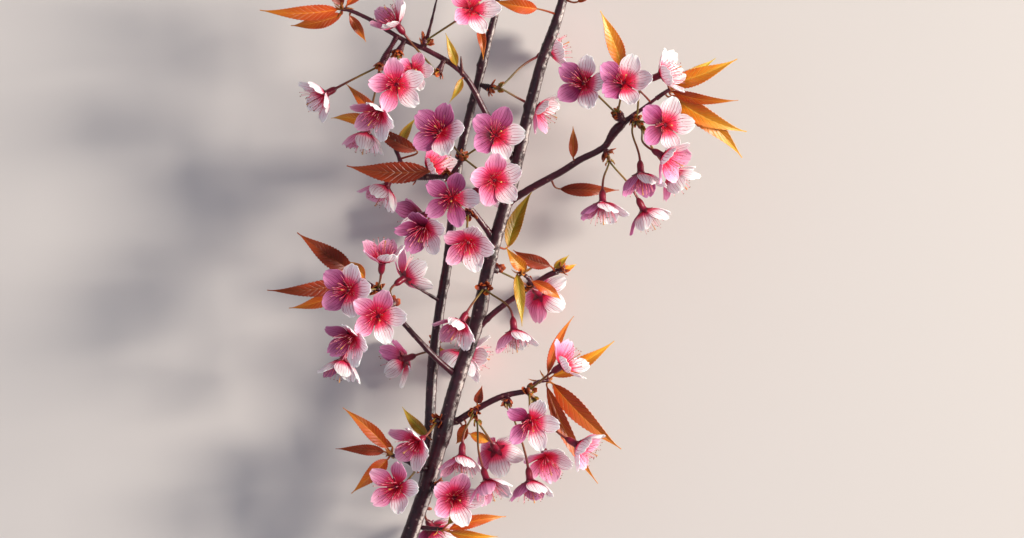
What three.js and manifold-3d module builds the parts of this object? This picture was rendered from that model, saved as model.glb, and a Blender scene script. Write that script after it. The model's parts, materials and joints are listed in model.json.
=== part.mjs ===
// A cut branch of a flowering cherry, in full bloom with its first bronze leaves, lying on its side.
// Millimetres. The branch grows along +Y, +Z is up, and the floor under the branch is Z = 0.
// Shapes are laid out first in the limb plane: the plane through the main limb's axis, seen square on.
import * as THREE from "three";
import { mergeVertices } from "three/addons/utils/BufferGeometryUtils.js";
import Module from "manifold-3d";

const wasm = await Module();
wasm.setup();

// Real sizes
const bloomSpan = 30;
const petalLength = 14.2;
const petalHalfWidth = 5.4;
const petalThickness = 0.5;
const petalSeatRadius = 1.1;
const calyxLength = 7;
const calyxRimRadius = 3.1;
const calyxFootRadius = 1.2;
const stamenLength = 8.5;
const stamenSpread = 3.4;
const stalkRadius = 0.62;
const stalkSink = 0.8;
const forkLength = 4.5;
const forkCollar = 0.7;
const forkFootRadius = 0.9;
const forkEndRadius = 1.3;
const leafThickness = 0.55;
const petioleRadius = 0.6;
const tuftStemRadius = 1.25;
const tuftStemTipRadius = 0.9;
const spurEndRadius = 1.5;
const spurNeckRadius = 1.2;
const knobRadius = 2.4;
const spurCap = 1.6;
const clearance = 0.3;
const limbRoom = 0.435;

// Places are read in pixels of the view, where a full bloom is this many pixels across
const bloomPixels = 60;
const pixel = bloomSpan / bloomPixels;
const viewCentre = { px: 512, py: 269 };

// How the branch lies: turned about X and then about Y until it rests on its lowest three tips
const layTiltX = THREE.MathUtils.degToRad(2.58);
const layTiltY = THREE.MathUtils.degToRad(4.49);

// A point of the limb plane from a pixel place and a height above the plane in millimetres
function spot([px, py, height = 0]) {
  return new THREE.Vector3((px - viewCentre.px) * pixel, (viewCentre.py - py) * pixel, height);
}

// Joining and cutting closed shapes
const weldGap = 1e-4;

function closed(geometry) {
  geometry.deleteAttribute("normal");
  geometry.deleteAttribute("uv");
  const merged = mergeVertices(geometry, weldGap);
  const index = merged.index.array;
  const kept = [];
  for (let i = 0; i < index.length; i += 3) {
    const [a, b, c] = [index[i], index[i + 1], index[i + 2]];
    if (a !== b && b !== c && c !== a) {
      kept.push(a, b, c);
    }
  }
  const vertProperties = new Float32Array(merged.attributes.position.array);
  return new wasm.Manifold(new wasm.Mesh({ numProp: 3, vertProperties, triVerts: new Uint32Array(kept) }));
}

function fuse(pieces) {
  return pieces.reduce((sum, piece) => sum.add(piece));
}

// The largest body of a cut shape, without the scraps
function largest(solid) {
  const bodies = solid.decompose();
  return bodies.reduce((best, body) => (body.volume() > best.volume() ? body : best));
}

function named(name, solid, material) {
  const { vertProperties, triVerts } = solid.getMesh();
  const geometry = new THREE.BufferGeometry();
  geometry.setAttribute("position", new THREE.BufferAttribute(new Float32Array(vertProperties), 3));
  geometry.setIndex(new THREE.BufferAttribute(new Uint32Array(triVerts), 1));
  geometry.computeVertexNormals();
  const mesh = new THREE.Mesh(geometry, material);
  mesh.name = name;
  return mesh;
}

// A rod with flat ends whose section follows a curve and whose radius is a function of the way along it
function rod(curve, radiusAt, sides, steps) {
  const geometry = new THREE.CylinderGeometry(1, 1, 1, sides, steps);
  const frames = curve.computeFrenetFrames(steps, false);
  const place = geometry.attributes.position;
  for (let i = 0; i < place.count; i += 1) {
    const along = place.getY(i) + 0.5;
    const step = Math.round(along * steps);
    const side = frames.normals[step];
    const other = new THREE.Vector3().crossVectors(side, frames.tangents[step]);
    const radius = radiusAt(along);
    const point = curve.getPointAt(along);
    point.addScaledVector(side, place.getX(i) * radius);
    point.addScaledVector(other, place.getZ(i) * radius);
    place.setXYZ(i, point.x, point.y, point.z);
  }
  return closed(geometry);
}

// A value between listed stops [way along, value]
function between(stops, along) {
  const next = stops.findIndex(([at]) => at >= along);
  if (next <= 0) {
    return stops[next < 0 ? stops.length - 1 : 0][1];
  }
  const [[from, low], [to, high]] = [stops[next - 1], stops[next]];
  return THREE.MathUtils.mapLinear(along, from, to, low, high);
}

// A thin blade with a ridge on each face, drawn from a root point to a tip point. Each ring between
// gives a way along, a half width and a half thickness, and its edges may run ahead of its ridge.
function blade(root, rings, tip, place) {
  const levels = rings.length + 1;
  const geometry = new THREE.SphereGeometry(1, 4, levels);
  const at = geometry.attributes.position;
  for (let i = 0; i < at.count; i += 1) {
    const height = THREE.MathUtils.clamp(at.getY(i), -1, 1);
    const level = Math.round((1 - Math.acos(height) / Math.PI) * levels);
    let point = level === 0 ? root : tip;
    if (level > 0 && level < levels) {
      const { along, half, thick, edge = along } = rings[level - 1];
      const onEdge = Math.abs(at.getX(i)) > Math.abs(at.getZ(i));
      const side = Math.sign(at.getX(i)) * half;
      const up = Math.sign(at.getZ(i)) * thick;
      point = onEdge ? place(edge, side, 0) : place(along, 0, up);
    }
    at.setXYZ(i, point.x, point.y, point.z);
  }
  return closed(geometry);
}

// Limbs: the path in pixels and height, the radius at stops along it, and the spurs that bear blossom.
// A limb with a parent starts on the parent's axis and is cut clear of the parent's bark.
const limbs = {
  main_limb: {
    path: [
      [389, 594, 0], [409, 538, 1], [428, 483, 2], [443, 432, 2], [460, 373, 1], [477, 322, 0],
      [490, 260, 0], [513, 178, 1], [527, 119, 1], [543, 59, 0], [557, 20, 0], [568, -22, -1],
      [573, -58, 1], [581, -92, 4],
    ],
    taper: [[0, 4.2], [0.18, 3.9], [0.82, 2.75], [1, 0.9]],
    swellings: [{ at: 0.24, extra: 0.9 }, { at: 0.42, extra: 0.35 }, { at: 0.6, extra: 0.35 }],
    sides: 7,
    steps: 17,
    spurs: {
      mainLow: [437, 486, 6], mainLeft: [437, 421, 6], mainFork: [419, 467, 7], mainMid: [484, 288, 6],
      mainBack: [470, 322, -8], mainRight: [497, 270, -8], mainLowBack: [424, 508, -7],
    },
    leaves: [
      { base: [508, 247, -4], tip: [533, 190, -5], half: 3.2, arch: -3 },
      { base: [537, 9, 5], tip: [493, 1, 8], half: 3, arch: 4 },
    ],
  },
  back_limb: {
    parent: "main_limb",
    path: [
      [403, 555, 0], [414, 523, -7], [424, 483, -12], [429, 432, -15], [432, 375, -18], [439, 313, -20],
      [447, 264, -21], [458, 164, -21], [466, 128, -20], [476, 89, -19], [488, 40, -18], [497, 6, -18],
      [502, -26, -17], [509, -54, -15],
    ],
    taper: [[0, 2.9], [0.3, 2.65], [0.85, 2], [1, 0.9]],
    swellings: [{ at: 0.33, extra: 0.4 }, { at: 0.62, extra: 0.3 }, { at: 0.81, extra: 0.4 }],
    sides: 6,
    steps: 15,
    spurs: {
      backHigh: [491, 88, -16], backMid: [453, 204, -26], backLow: [436, 343, -24],
    },
  },
  twig_upper_left: {
    parent: "main_limb",
    path: [
      [517, 165, 0], [487, 115, 5], [462, 73, 9], [430, 52, 11], [403, 40, 12], [372, 21, 13],
      [351, 11, 13],
    ],
    taper: [[0, 1.75], [0.5, 1.4], [1, 0.95]],
    spurs: {
      upperLeftTip: [381, 66, 15], upperLeftBend: [399, 53, 15], upperLeftLow: [438, 74, 15],
      upperLeftTop: [425, 42, 14],
    },
    leaves: [
      { base: [462, 79, 10], tip: [450, 102, 13], half: 1.6, arch: 1 },
    ],
  },
  twig_left: {
    parent: "main_limb",
    path: [[493, 238, 0], [475, 214, 5], [459, 192, 9], [452, 177, 12], [460, 163, 14]],
    taper: [[0, 1.6], [1, 1.1]],
    spurs: {
      leftTip: [463, 158, 16], leftBend: [448, 176, 16], leftSide: [414, 177, 12],
      leftRoot: [468, 214, 10], leftElbow: [457, 202, 11],
    },
  },
  twig_mid_left: {
    parent: "main_limb",
    path: [[459, 378, 0], [436, 358, 4], [418, 339, 8], [403, 322, 10], [388, 303, 12], [380, 293, 13]],
    taper: [[0, 1.7], [1, 1.1]],
    spurs: {
      midLeftTip: [378, 289, 15], midLeftBend: [389, 309, 16], midLeftBack: [393, 303, 7],
    },
  },
  twig_upper_right: {
    parent: "main_limb",
    path: [
      [507, 203, 0], [535, 186, 4], [561, 172, 7], [580, 160, 9], [604, 147, 11], [615, 131, 13],
      [630, 118, 14], [645, 107, 15], [657, 98, 16],
    ],
    taper: [[0, 1.9], [0.7, 1.55], [1, 0.95]],
    spurs: {
      upperRightKnee: [617, 115, 16], upperRightLow: [607, 153, 12], upperRightBend: [635, 121, 17],
    },
    leaves: [
      { base: [622, 68, 22], tip: [600, 12, 24], half: 3.4, arch: -3 },
      { base: [560, 189, -2], tip: [620, 190, -8], half: 2.8, arch: 3 },
    ],
  },
  twig_right: {
    parent: "main_limb",
    path: [[479, 326, 0], [500, 308, 3], [524, 291, 5], [547, 276, 7], [556, 272, 8]],
    taper: [[0, 1.6], [0.8, 1.3], [1, 1.5]],
    spurs: { rightMid: [530, 284, 8] },
    leaves: [
      { base: [554, 268, 9], tip: [569, 255, 10], half: 1.5, arch: 1 },
    ],
  },
  twig_lower_right: {
    parent: "main_limb",
    path: [[457, 421, 0], [480, 407, 5], [503, 396, 8], [526, 391, 10]],
    taper: [[0, 1.8], [1, 1.35]],
    spurs: {
      lowerRightTip: [529, 390, 12], lowerRightMid: [508, 401, 10], lowerRightRoot: [474, 412, 9],
    },
    leaves: [
      { base: [477, 403, 9], tip: [482, 386, 14], half: 1.9, arch: 0 },
    ],
  },
};

// Masses of young leaves. Each grows from one stem that starts on its limb.
const tufts = {
  leaves_top: {
    limb: "main_limb",
    stem: [[580, -90, 4], [584, -104, 6], [587, -114, 8]],
    leaves: [
      { base: [582, -112, 7], tip: [557, -172, 12], half: 3.6, arch: 4 },
      { base: [588, -118, 9], tip: [604, -176, 2], half: 3.3, arch: 3 },
      { base: [590, -112, 8], tip: [655, -140, 14], half: 3.7, arch: 5 },
      { base: [586, -108, 8], tip: [532, -124, -4], half: 3.2, arch: 4 },
    ],
  },
  leaves_back_top: {
    limb: "back_limb",
    stem: [[508, -52, -15], [511, -64, -14], [513, -72, -13]],
    leaves: [
      { base: [509, -70, -13], tip: [474, -121, -8], half: 3.4, arch: 4 },
      { base: [514, -76, -13], tip: [523, -136, -18], half: 3.2, arch: 3 },
      { base: [511, -66, -14], tip: [459, -74, -24], half: 3, arch: 4 },
      { base: [516, -70, -12], tip: [548, -104, -26], half: 2.8, arch: 3 },
    ],
  },
  leaves_upper_left: {
    limb: "twig_upper_left",
    stem: [[352, 11, 13], [346, 10, 13], [341, 10, 13]],
    leaves: [
      { base: [338, 10, 13], tip: [261, 11, 20], half: 3.2, arch: 4 },
      { base: [342, 15, 12], tip: [291, 26, 6], half: 3, arch: 3 },
      { base: [343, 6, 14], tip: [327, -30, 18], half: 2.8, arch: 2 },
      { base: [347, 6, 12], tip: [366, -22, 4], half: 2.2, arch: 2 },
    ],
  },
  leaves_left: {
    limb: "twig_left",
    stem: [[414, 177, 12], [404, 168, 15], [396, 150, 12], [382, 125, 8]],
    leaves: [
      { base: [403, 170, 13], tip: [347, 165, 5], half: 4.4, arch: 5 },
      { base: [392, 146, 10], tip: [352, 138, -2], half: 2.6, arch: 3 },
      { base: [379, 122, 8], tip: [346, 84, 10], half: 2.8, arch: 3 },
      { base: [378, 126, 7], tip: [330, 118, 0], half: 2.5, arch: 3 },
    ],
  },
  leaves_upper_right: {
    limb: "twig_upper_right",
    stem: [[656, 99, 16], [663, 94, 17], [669, 90, 17]],
    leaves: [
      { base: [668, 85, 18], tip: [736, 60, 24], half: 3.6, arch: 4 },
      { base: [672, 92, 17], tip: [736, 101, 28], half: 2.3, arch: 3 },
      { base: [671, 96, 15], tip: [746, 132, 14], half: 4, arch: 4 },
      { base: [667, 97, 14], tip: [742, 158, 4], half: 4.2, arch: 5 },
    ],
  },
  leaves_right: {
    limb: "twig_right",
    stem: [[532, 284, 10], [528, 278, 13], [521, 272, 14]],
    leaves: [
      { base: [526, 270, 14], tip: [506, 247, 18], half: 2.7, arch: 2 },
      { base: [517, 274, 13], tip: [522, 326, 17], half: 2.3, arch: 2 },
      { base: [532, 281, 12], tip: [562, 300, 4], half: 2.4, arch: 3 },
    ],
  },
  leaves_mid_left: {
    limb: "twig_mid_left",
    stem: [[380, 292, 13], [366, 282, 8], [353, 279, 5]],
    leaves: [
      { base: [352, 271, 6], tip: [298, 233, 10], half: 4.2, arch: 4 },
      { base: [347, 281, 5], tip: [268, 290, 14], half: 3.3, arch: 5 },
      { base: [349, 286, 4], tip: [289, 308, 0], half: 3, arch: 4 },
    ],
  },
  leaves_lower_right: {
    limb: "twig_lower_right",
    stem: [[525, 392, 10], [538, 382, 6], [548, 380, 4]],
    leaves: [
      { base: [553, 376, 4], tip: [614, 341, 8], half: 3.1, arch: 3 },
      { base: [553, 384, 3], tip: [621, 449, 4], half: 4, arch: 5 },
      { base: [547, 387, 1], tip: [598, 484, -12], half: 2.9, arch: 4 },
    ],
  },
  leaves_lower_left: {
    limb: "main_limb",
    stem: [[428, 476, 0], [414, 466, -5], [401, 459, -8], [391, 455, -9]],
    leaves: [
      { base: [387, 448, -8], tip: [343, 408, -2], half: 3, arch: 3 },
      { base: [384, 452, -9], tip: [336, 449, -4], half: 2.3, arch: 3 },
      { base: [387, 460, -9], tip: [352, 493, -3], half: 3.2, arch: 3 },
    ],
  },
  leaves_low: {
    limb: "main_limb",
    stem: [[413, 527, 0], [428, 528, 2], [443, 529, 4]],
    leaves: [
      { base: [450, 532, 4], tip: [497, 536, 8], half: 2, arch: 3 },
      { base: [448, 524, 5], tip: [489, 492, 12], half: 1.9, arch: 3 },
      { base: [449, 529, 2], tip: [506, 517, -6], half: 2.6, arch: 3 },
    ],
  },
};

// Blooms by the spur that bears them. at is the flower's centre in pixels, faces the way it looks, reach
// the way from spur to centre, and open how far its petals rise from flat, in degrees. A flower stands
// above its spur, or below it where under is true. slide then lifts it, spin turns it on its own axis in
// degrees, and bow bends its stalk aside and over. Two flowers of one name hang from one forked stalk.
const blooms = [
  { name: "bloom_upper_left_1", spur: "upperLeftTip", flowers: [
    { at: [326, 95], faces: [-0.8, -0.45, 0.35], reach: 32, open: 38 }] },
  { name: "bloom_upper_left_2", spur: "upperLeftTip", flowers: [
    { at: [380, 113], faces: [-0.5, -0.6, 0.6], reach: 28, open: 40 },
    { at: [366, 132], faces: [-0.2, -0.95, 0.1], reach: 34, open: 45, under: true, slide: -8 }] },
  { name: "bloom_upper_left_3", spur: "upperLeftBend", flowers: [
    { at: [397, 86], faces: [0.1, -0.2, 1], reach: 28, open: 18, spin: 24 }] },
  { name: "bloom_upper_left_4", spur: "upperLeftLow", flowers: [
    { at: [414, 73], faces: [0.1, 0.1, 1], reach: 18, open: 30, size: 0.72, slide: -2 }] },
  { name: "bloom_upper_left_5", spur: "upperLeftLow", flowers: [
    { at: [397, 25], faces: [-0.55, 0.7, 0.4], reach: 32, open: 42 }] },
  { name: "bloom_upper_left_6", spur: "upperLeftTop", flowers: [
    { at: [472, 10], faces: [0.3, 0.25, 0.95], reach: 31, open: 24 }] },
  { name: "bloom_left_1", spur: "leftTip", flowers: [
    { at: [440, 132], faces: [-0.25, 0.2, 1], reach: 26, open: 20 }] },
  { name: "bloom_left_2", spur: "leftTip", flowers: [
    { at: [496, 136], faces: [0.2, 0.15, 1], reach: 27, open: 22 }] },
  { name: "bloom_left_3", spur: "leftBend", flowers: [
    { at: [452, 199], faces: [-0.05, -0.15, 1], reach: 26, open: 18 }] },
  { name: "bloom_left_4", spur: "leftTip", flowers: [
    { at: [495, 181], faces: [0.25, -0.1, 1], reach: 28, open: 24, slide: 4, spin: 24 }] },
  { name: "bloom_left_5", spur: "leftElbow", flowers: [
    { at: [424, 229], faces: [-0.25, -0.55, 0.75], reach: 28, open: 26, spin: 24 }] },
  { name: "bloom_left_6", spur: "leftRoot", flowers: [
    { at: [468, 243], faces: [0.05, -0.5, 0.85], reach: 26, open: 26 }] },
  { name: "bloom_left_7", spur: "leftSide", flowers: [
    { at: [386, 186], faces: [-0.5, -0.85, 0.1], reach: 24, open: 44, under: true },
    { at: [430, 168], faces: [0.5, 0.3, 0.4], reach: 22, open: 42, under: true }] },
  { name: "bloom_upper_right_1", spur: "upperRightKnee", flowers: [
    { at: [583, 84], faces: [-0.3, 0.2, 0.95], reach: 27, open: 20 }] },
  { name: "bloom_upper_right_2", spur: "upperRightKnee", flowers: [
    { at: [623, 84], faces: [0.05, 0.3, 0.95], reach: 27, open: 20 }] },
  { name: "bloom_upper_right_3", spur: "upperRightBend", flowers: [
    { at: [660, 76], faces: [0.85, 0.35, 0.35], reach: 29, open: 40 }] },
  { name: "bloom_upper_right_4", spur: "upperRightBend", flowers: [
    { at: [664, 126], faces: [0.25, -0.05, 1], reach: 26, open: 18 }] },
  { name: "bloom_upper_right_5", spur: "upperRightBend", flowers: [
    { at: [662, 157], faces: [0.8, -0.45, 0.35], reach: 26, open: 40, slide: 8 },
    { at: [672, 173], faces: [0.6, -0.7, -0.2], reach: 34, open: 40, under: true }] },
  { name: "bloom_upper_right_6", spur: "upperRightBend", flowers: [
    { at: [640, 174], faces: [0.05, -0.95, 0.3], reach: 30, open: 42, bow: [-0.7, 0] }] },
  { name: "bloom_upper_right_7", spur: "upperRightLow", flowers: [
    { at: [602, 203], faces: [0, -0.98, 0.25], reach: 28, open: 36 },
    { at: [644, 210], faces: [0.45, -0.85, -0.1], reach: 36, open: 38, under: true }] },
  { name: "bloom_mid_left_1", spur: "midLeftTip", flowers: [
    { at: [349, 290], faces: [-0.3, 0, 0.95], reach: 26, open: 20 }] },
  { name: "bloom_mid_left_2", spur: "midLeftBend", flowers: [
    { at: [379, 316], faces: [0.05, -0.2, 1], reach: 25, open: 20, slide: 2 }] },
  { name: "bloom_mid_left_3", spur: "midLeftTip", flowers: [
    { at: [383, 262], faces: [0.1, 0.9, 0.4], reach: 20, open: 44 }] },
  { name: "bloom_mid_left_4", spur: "midLeftBend", flowers: [
    { at: [353, 337], faces: [-0.5, -0.5, 0.7], reach: 29, open: 34, slide: 2 },
    { at: [343, 360], faces: [-0.2, -0.95, 0.1], reach: 35, open: 44, under: true }] },
  { name: "bloom_mid_left_5", spur: "midLeftBack", flowers: [
    { at: [404, 278], faces: [0.7, 0.5, -0.5], reach: 24, open: 36, under: true }] },
  { name: "bloom_centre_1", spur: "mainMid", flowers: [
    { at: [461, 322], faces: [-0.45, -0.75, 0.45], reach: 25, open: 40 }] },
  { name: "bloom_centre_2", spur: "mainMid", flowers: [
    { at: [514, 330], faces: [0.1, -0.97, 0.2], reach: 28, open: 42 }] },
  { name: "bloom_centre_3", spur: "mainBack", flowers: [
    { at: [462, 352], faces: [-0.3, -0.85, -0.2], reach: 22, open: 34, under: true, spin: 24 }] },
  { name: "bloom_lower_left_1", spur: "mainLeft", flowers: [
    { at: [417, 442], faces: [-0.6, -0.45, 0.65], reach: 21, open: 30 }] },
  { name: "bloom_lower_left_2", spur: "mainFork", flowers: [
    { at: [397, 486], faces: [-0.35, -0.1, 0.95], reach: 26, open: 26 }] },
  { name: "bloom_lower_left_3", spur: "mainLow", flowers: [
    { at: [455, 497], faces: [0.2, -0.1, 1], reach: 24, open: 24 }] },
  { name: "bloom_lower_left_4", spur: "mainLowBack", flowers: [
    { at: [432, 530], faces: [0.4, -0.6, -0.6], reach: 24, open: 34, under: true, bow: [-0.7, 0] }] },
  { name: "bloom_lower_right_1", spur: "lowerRightRoot", flowers: [
    { at: [462, 455], faces: [-0.05, -0.97, 0.25], reach: 26, open: 44 }] },
  { name: "bloom_lower_right_2", spur: "lowerRightTip", flowers: [
    { at: [531, 421], faces: [0.05, -0.4, 0.9], reach: 26, open: 24 }] },
  { name: "bloom_lower_right_3", spur: "lowerRightTip", flowers: [
    { at: [577, 444], faces: [0.85, -0.5, 0.2], reach: 36, open: 40 },
    { at: [546, 458], faces: [0.2, -0.75, 0.6], reach: 37, open: 30, under: true }] },
  { name: "bloom_lower_right_4", spur: "lowerRightMid", flowers: [
    { at: [530, 480], faces: [0.15, -0.97, 0.15], reach: 42, open: 42 }] },
  { name: "bloom_lower_right_5", spur: "lowerRightRoot", flowers: [
    { at: [487, 479], faces: [0.3, -0.9, 0.25], reach: 35, open: 40, slide: 6, spin: 48 },
    { at: [496, 450], faces: [0.3, -0.5, -0.75], reach: 28, open: 30, under: true }] },
  { name: "bloom_lower_right_6", spur: "lowerRightTip", flowers: [
    { at: [562, 365], faces: [0.75, 0.5, 0.4], reach: 24, open: 36 }] },
  { name: "bloom_back_1", spur: "backHigh", flowers: [
    { at: [549, 50], faces: [0.85, 0.4, -0.1], reach: 35, open: 36, under: true },
    { at: [537, 107], faces: [0.75, -0.4, 0.2], reach: 27, open: 36, under: true }] },
  { name: "bloom_back_2", spur: "backMid", flowers: [
    { at: [420, 216], faces: [-0.8, -0.3, -0.5], reach: 23, open: 34, under: true },
    { at: [484, 188], faces: [0.9, 0.2, -0.25], reach: 18, open: 34, under: true }] },
  { name: "bloom_back_3", spur: "backLow", flowers: [
    { at: [404, 360], faces: [-0.8, -0.3, -0.5], reach: 23, open: 34, under: true },
    { at: [468, 356], faces: [0.9, -0.2, -0.25], reach: 17, open: 34, under: true, slide: -4, spin: 24 }] },
  { name: "bloom_back_4", spur: "mainRight", flowers: [
    { at: [540, 294], faces: [0.5, -0.35, -0.75], reach: 40, open: 30, under: true }] },
];

const bark = new THREE.MeshStandardMaterial({ color: 0x3c2227, roughness: 0.42, metalness: 0 });
const twigBark = new THREE.MeshStandardMaterial({ color: 0x4a2426, roughness: 0.45, metalness: 0 });
const bronzeLeaf = new THREE.MeshStandardMaterial({ color: 0xa5561f, roughness: 0.5, metalness: 0 });
const pinkPetal = new THREE.MeshStandardMaterial({ color: 0xf1a9c4, roughness: 0.55, metalness: 0 });

// A limb's radius with its swellings at the joints, and with room all round when it is used as a cutter
const swellingWidth = 0.014;

function limbRadius(limb, room) {
  return (along) => {
    let radius = between(limb.taper, along) + room;
    for (const { at, extra } of limb.swellings ?? []) {
      radius += extra * Math.exp(-(((along - at) / swellingWidth) ** 2));
    }
    return radius;
  };
}

function curveThrough(path) {
  return new THREE.CatmullRomCurve3(path.map(spot), false, "centripetal");
}

function nearestOn(curve, point) {
  const samples = curve.getSpacedPoints(120);
  samples.sort((one, other) => one.distanceTo(point) - other.distanceTo(point));
  return samples[0];
}

// The room off the flat end of a rod
function endRoom(end, onward, radius, room) {
  const cap = [end.clone().addScaledVector(onward, -room), end.clone().addScaledVector(onward, room)];
  return rod(new THREE.LineCurve3(...cap), () => radius + room, 8, 1);
}

// A spur: a short stalk from the limb's axis that swells into a knob of bud scales
function spurSolid(curve, at, room) {
  const tip = spot(at);
  const foot = nearestOn(curve, tip);
  const onward = tip.clone().sub(foot).normalize();
  const end = tip.clone().addScaledVector(onward, spurCap);
  const shape = [[0, spurEndRadius], [0.34, spurNeckRadius], [0.67, knobRadius], [1, spurEndRadius]];
  const spur = rod(new THREE.LineCurve3(foot, end), (along) => between(shape, along) + room, 4, 3);
  if (room === 0) {
    return spur;
  }
  return fuse([
    spur,
    endRoom(foot, onward, spurEndRadius, room),
    endRoom(end, onward, spurEndRadius, room),
  ]);
}

// A leaf: a petiole from its stem, then a blade folded along its midrib and arched from base to tip.
// A share below nought is the petiole's grip on the stem.
const leafRings = [
  { along: 0.03, half: 0.2 },
  { along: 0.45, half: 1 },
];
const leafFold = 0.3;
const petioleGrip = { along: -1, half: petioleRadius, thick: petioleRadius };
const petioleSink = 1;

function leafSolid(stem, { base, tip, half, arch }) {
  const [foot, root, end] = [nearestOn(stem, spot(base)), spot(base), spot(tip)];
  const along = end.clone().sub(root);
  const side = new THREE.Vector3().crossVectors(along, new THREE.Vector3(0, 0, 1)).normalize();
  const up = new THREE.Vector3().crossVectors(side, along).normalize();
  const anchor = foot.clone().addScaledVector(foot.clone().sub(root).normalize(), petioleSink);
  const rings = leafRings.map((ring) => (
    { along: ring.along, half: ring.half * half, thick: leafThickness }
  ));
  return blade(anchor, [petioleGrip, ...rings], end, (share, across, rise) => {
    const point = share < 0 ? foot.clone() : root.clone().addScaledVector(along, share);
    const bend = share < 0 ? 0 : leafFold * Math.abs(across) + arch * 4 * share * (1 - share);
    return point.addScaledVector(side, across).addScaledVector(up, rise + bend);
  });
}

function limbSolid(name, room = 0) {
  const limb = limbs[name];
  const curve = curveThrough(limb.path);
  const pieces = [rod(curve, limbRadius(limb, room), limb.sides ?? 5, limb.steps ?? 7)];
  for (const at of Object.values(limb.spurs ?? {})) {
    pieces.push(spurSolid(curve, at, room));
  }
  if (room === 0) {
    pieces.push(...(limb.leaves ?? []).map((leaf) => leafSolid(curve, leaf)));
  } else {
    pieces.push(endRoom(curve.getPointAt(1), curve.getTangentAt(1), between(limb.taper, 1), room));
  }
  return fuse(pieces);
}

// The room round each limb, which what grows on it is cut back to
const rooms = {};
for (const name of Object.keys(limbs)) {
  rooms[name] = limbSolid(name, limbRoom);
}

const solids = {};
for (const [name, limb] of Object.entries(limbs)) {
  const whole = limbSolid(name);
  solids[name] = limb.parent ? largest(whole.subtract(rooms[limb.parent])) : whole;
}

function touch(one, other) {
  const [a, b] = [one.boundingBox(), other.boundingBox()];
  const apart = [0, 1, 2].some((k) => a.min[k] - b.max[k] > clearance || b.min[k] - a.max[k] > clearance);
  return !apart && one.minGap(other, clearance) < clearance * 0.8;
}

// New growth stands clear of all that is in place
function keepClear(name, solid, others = Object.values(solids)) {
  if (others.some((other) => touch(solid, other))) {
    throw new Error(`${name} touches what is beside it`);
  }
}

for (const [name, tuft] of Object.entries(tufts)) {
  const stem = curveThrough(tuft.stem);
  const stemRadius = (along) => THREE.MathUtils.lerp(tuftStemRadius, tuftStemTipRadius, along);
  const leaves = tuft.leaves.map((leaf) => leafSolid(stem, leaf));
  leaves.forEach((leaf) => keepClear(name, leaf));
  solids[name] = largest(fuse([rod(stem, stemRadius, 4, 2), ...leaves]).subtract(rooms[tuft.limb]));
}

// One petal: a spoon that narrows to its seat, with a shallow notch between the two lobes of its tip
const petalRings = [
  { along: 0.42, half: 0.82, thick: 1 },
  { along: 0.86, half: 0.66, thick: 0.7, edge: 0.94 },
];
const petalNotch = 0.91;
const petalSpoon = 1.3;
const petalRim = 0.035;
const petalShare = 0.66;

function petalSolid(angle, open, size) {
  const rise = THREE.MathUtils.degToRad(open);
  const outward = new THREE.Vector3(Math.cos(angle), Math.sin(angle), 0);
  const axis = new THREE.Vector3(0, 0, 1);
  const side = new THREE.Vector3().crossVectors(outward, axis);
  const along = outward.clone().multiplyScalar(Math.cos(rise)).addScaledVector(axis, Math.sin(rise));
  const up = new THREE.Vector3().crossVectors(side, along);
  const length = petalLength * size;
  const rings = petalRings.map((ring) => {
    const reach = petalSeatRadius + ring.along * length * Math.cos(rise);
    const half = Math.min(ring.half * petalHalfWidth * size, reach * petalShare);
    return { ...ring, half, thick: ring.thick * petalThickness };
  });
  const place = (share, across, thick) => {
    const sag = petalRim * across ** 2 - petalSpoon * Math.sin(Math.PI * share);
    const point = outward.clone().multiplyScalar(petalSeatRadius).addScaledVector(along, share * length);
    return point.addScaledVector(side, across).addScaledVector(up, thick + sag * size);
  };
  return blade(place(0, 0, 0), rings, place(petalNotch, 0, 0), place);
}

// A turned shape about the flower's axis, from its profile of radius and height
function turned(profile, sides) {
  const geometry = new THREE.LatheGeometry(profile.map(([r, z]) => new THREE.Vector2(r, z)), sides);
  geometry.rotateX(Math.PI / 2);
  return closed(geometry);
}

// The calyx: a red tube under the petals, with a five-pointed rim of sepals
function calyxSolid() {
  return turned([[0, -calyxLength], [calyxFootRadius, -calyxLength], [calyxRimRadius, -0.3], [0, 0.6]], 5);
}

// The stamens as one spreading brush
function stamenSolid(size) {
  const top = stamenLength * size;
  return turned([[0, -0.6], [1, -0.2], [stamenSpread * size, top], [0, top * 0.9]], 4);
}

function headSolid({ open, size = 1, spin = 0 }) {
  const pieces = [calyxSolid(), stamenSolid(size)];
  for (let petal = 0; petal < 5; petal += 1) {
    pieces.push(petalSolid(THREE.MathUtils.degToRad(petal * 72 + spin), open, size));
  }
  return fuse(pieces);
}

// The flower's centre, before any slide
function flowerCentre(flower, root) {
  const centre = spot(flower.at);
  const flat = Math.hypot(centre.x - root.x, centre.y - root.y);
  const away = Math.sqrt(Math.max(flower.reach ** 2 - flat ** 2, 0));
  centre.z = root.z + (flower.under ? -away : away);
  return centre;
}

// A bent stalk from the spur to the foot of the calyx
const stalkPull = 0.4;

function stalkSolid(root, foot, facing, [bowAside, bowOver]) {
  const leaving = foot.clone().sub(root).normalize();
  const aside = new THREE.Vector3().crossVectors(leaving, facing).normalize();
  const over = new THREE.Vector3().crossVectors(leaving, aside);
  leaving.addScaledVector(aside, bowAside).addScaledVector(over, bowOver).normalize();
  const pull = foot.distanceTo(root) * stalkPull;
  const bend = [root.clone().addScaledVector(leaving, pull), foot.clone().addScaledVector(facing, -pull)];
  return rod(new THREE.CubicBezierCurve3(root, ...bend, foot), () => stalkRadius, 3, 3);
}

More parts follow.
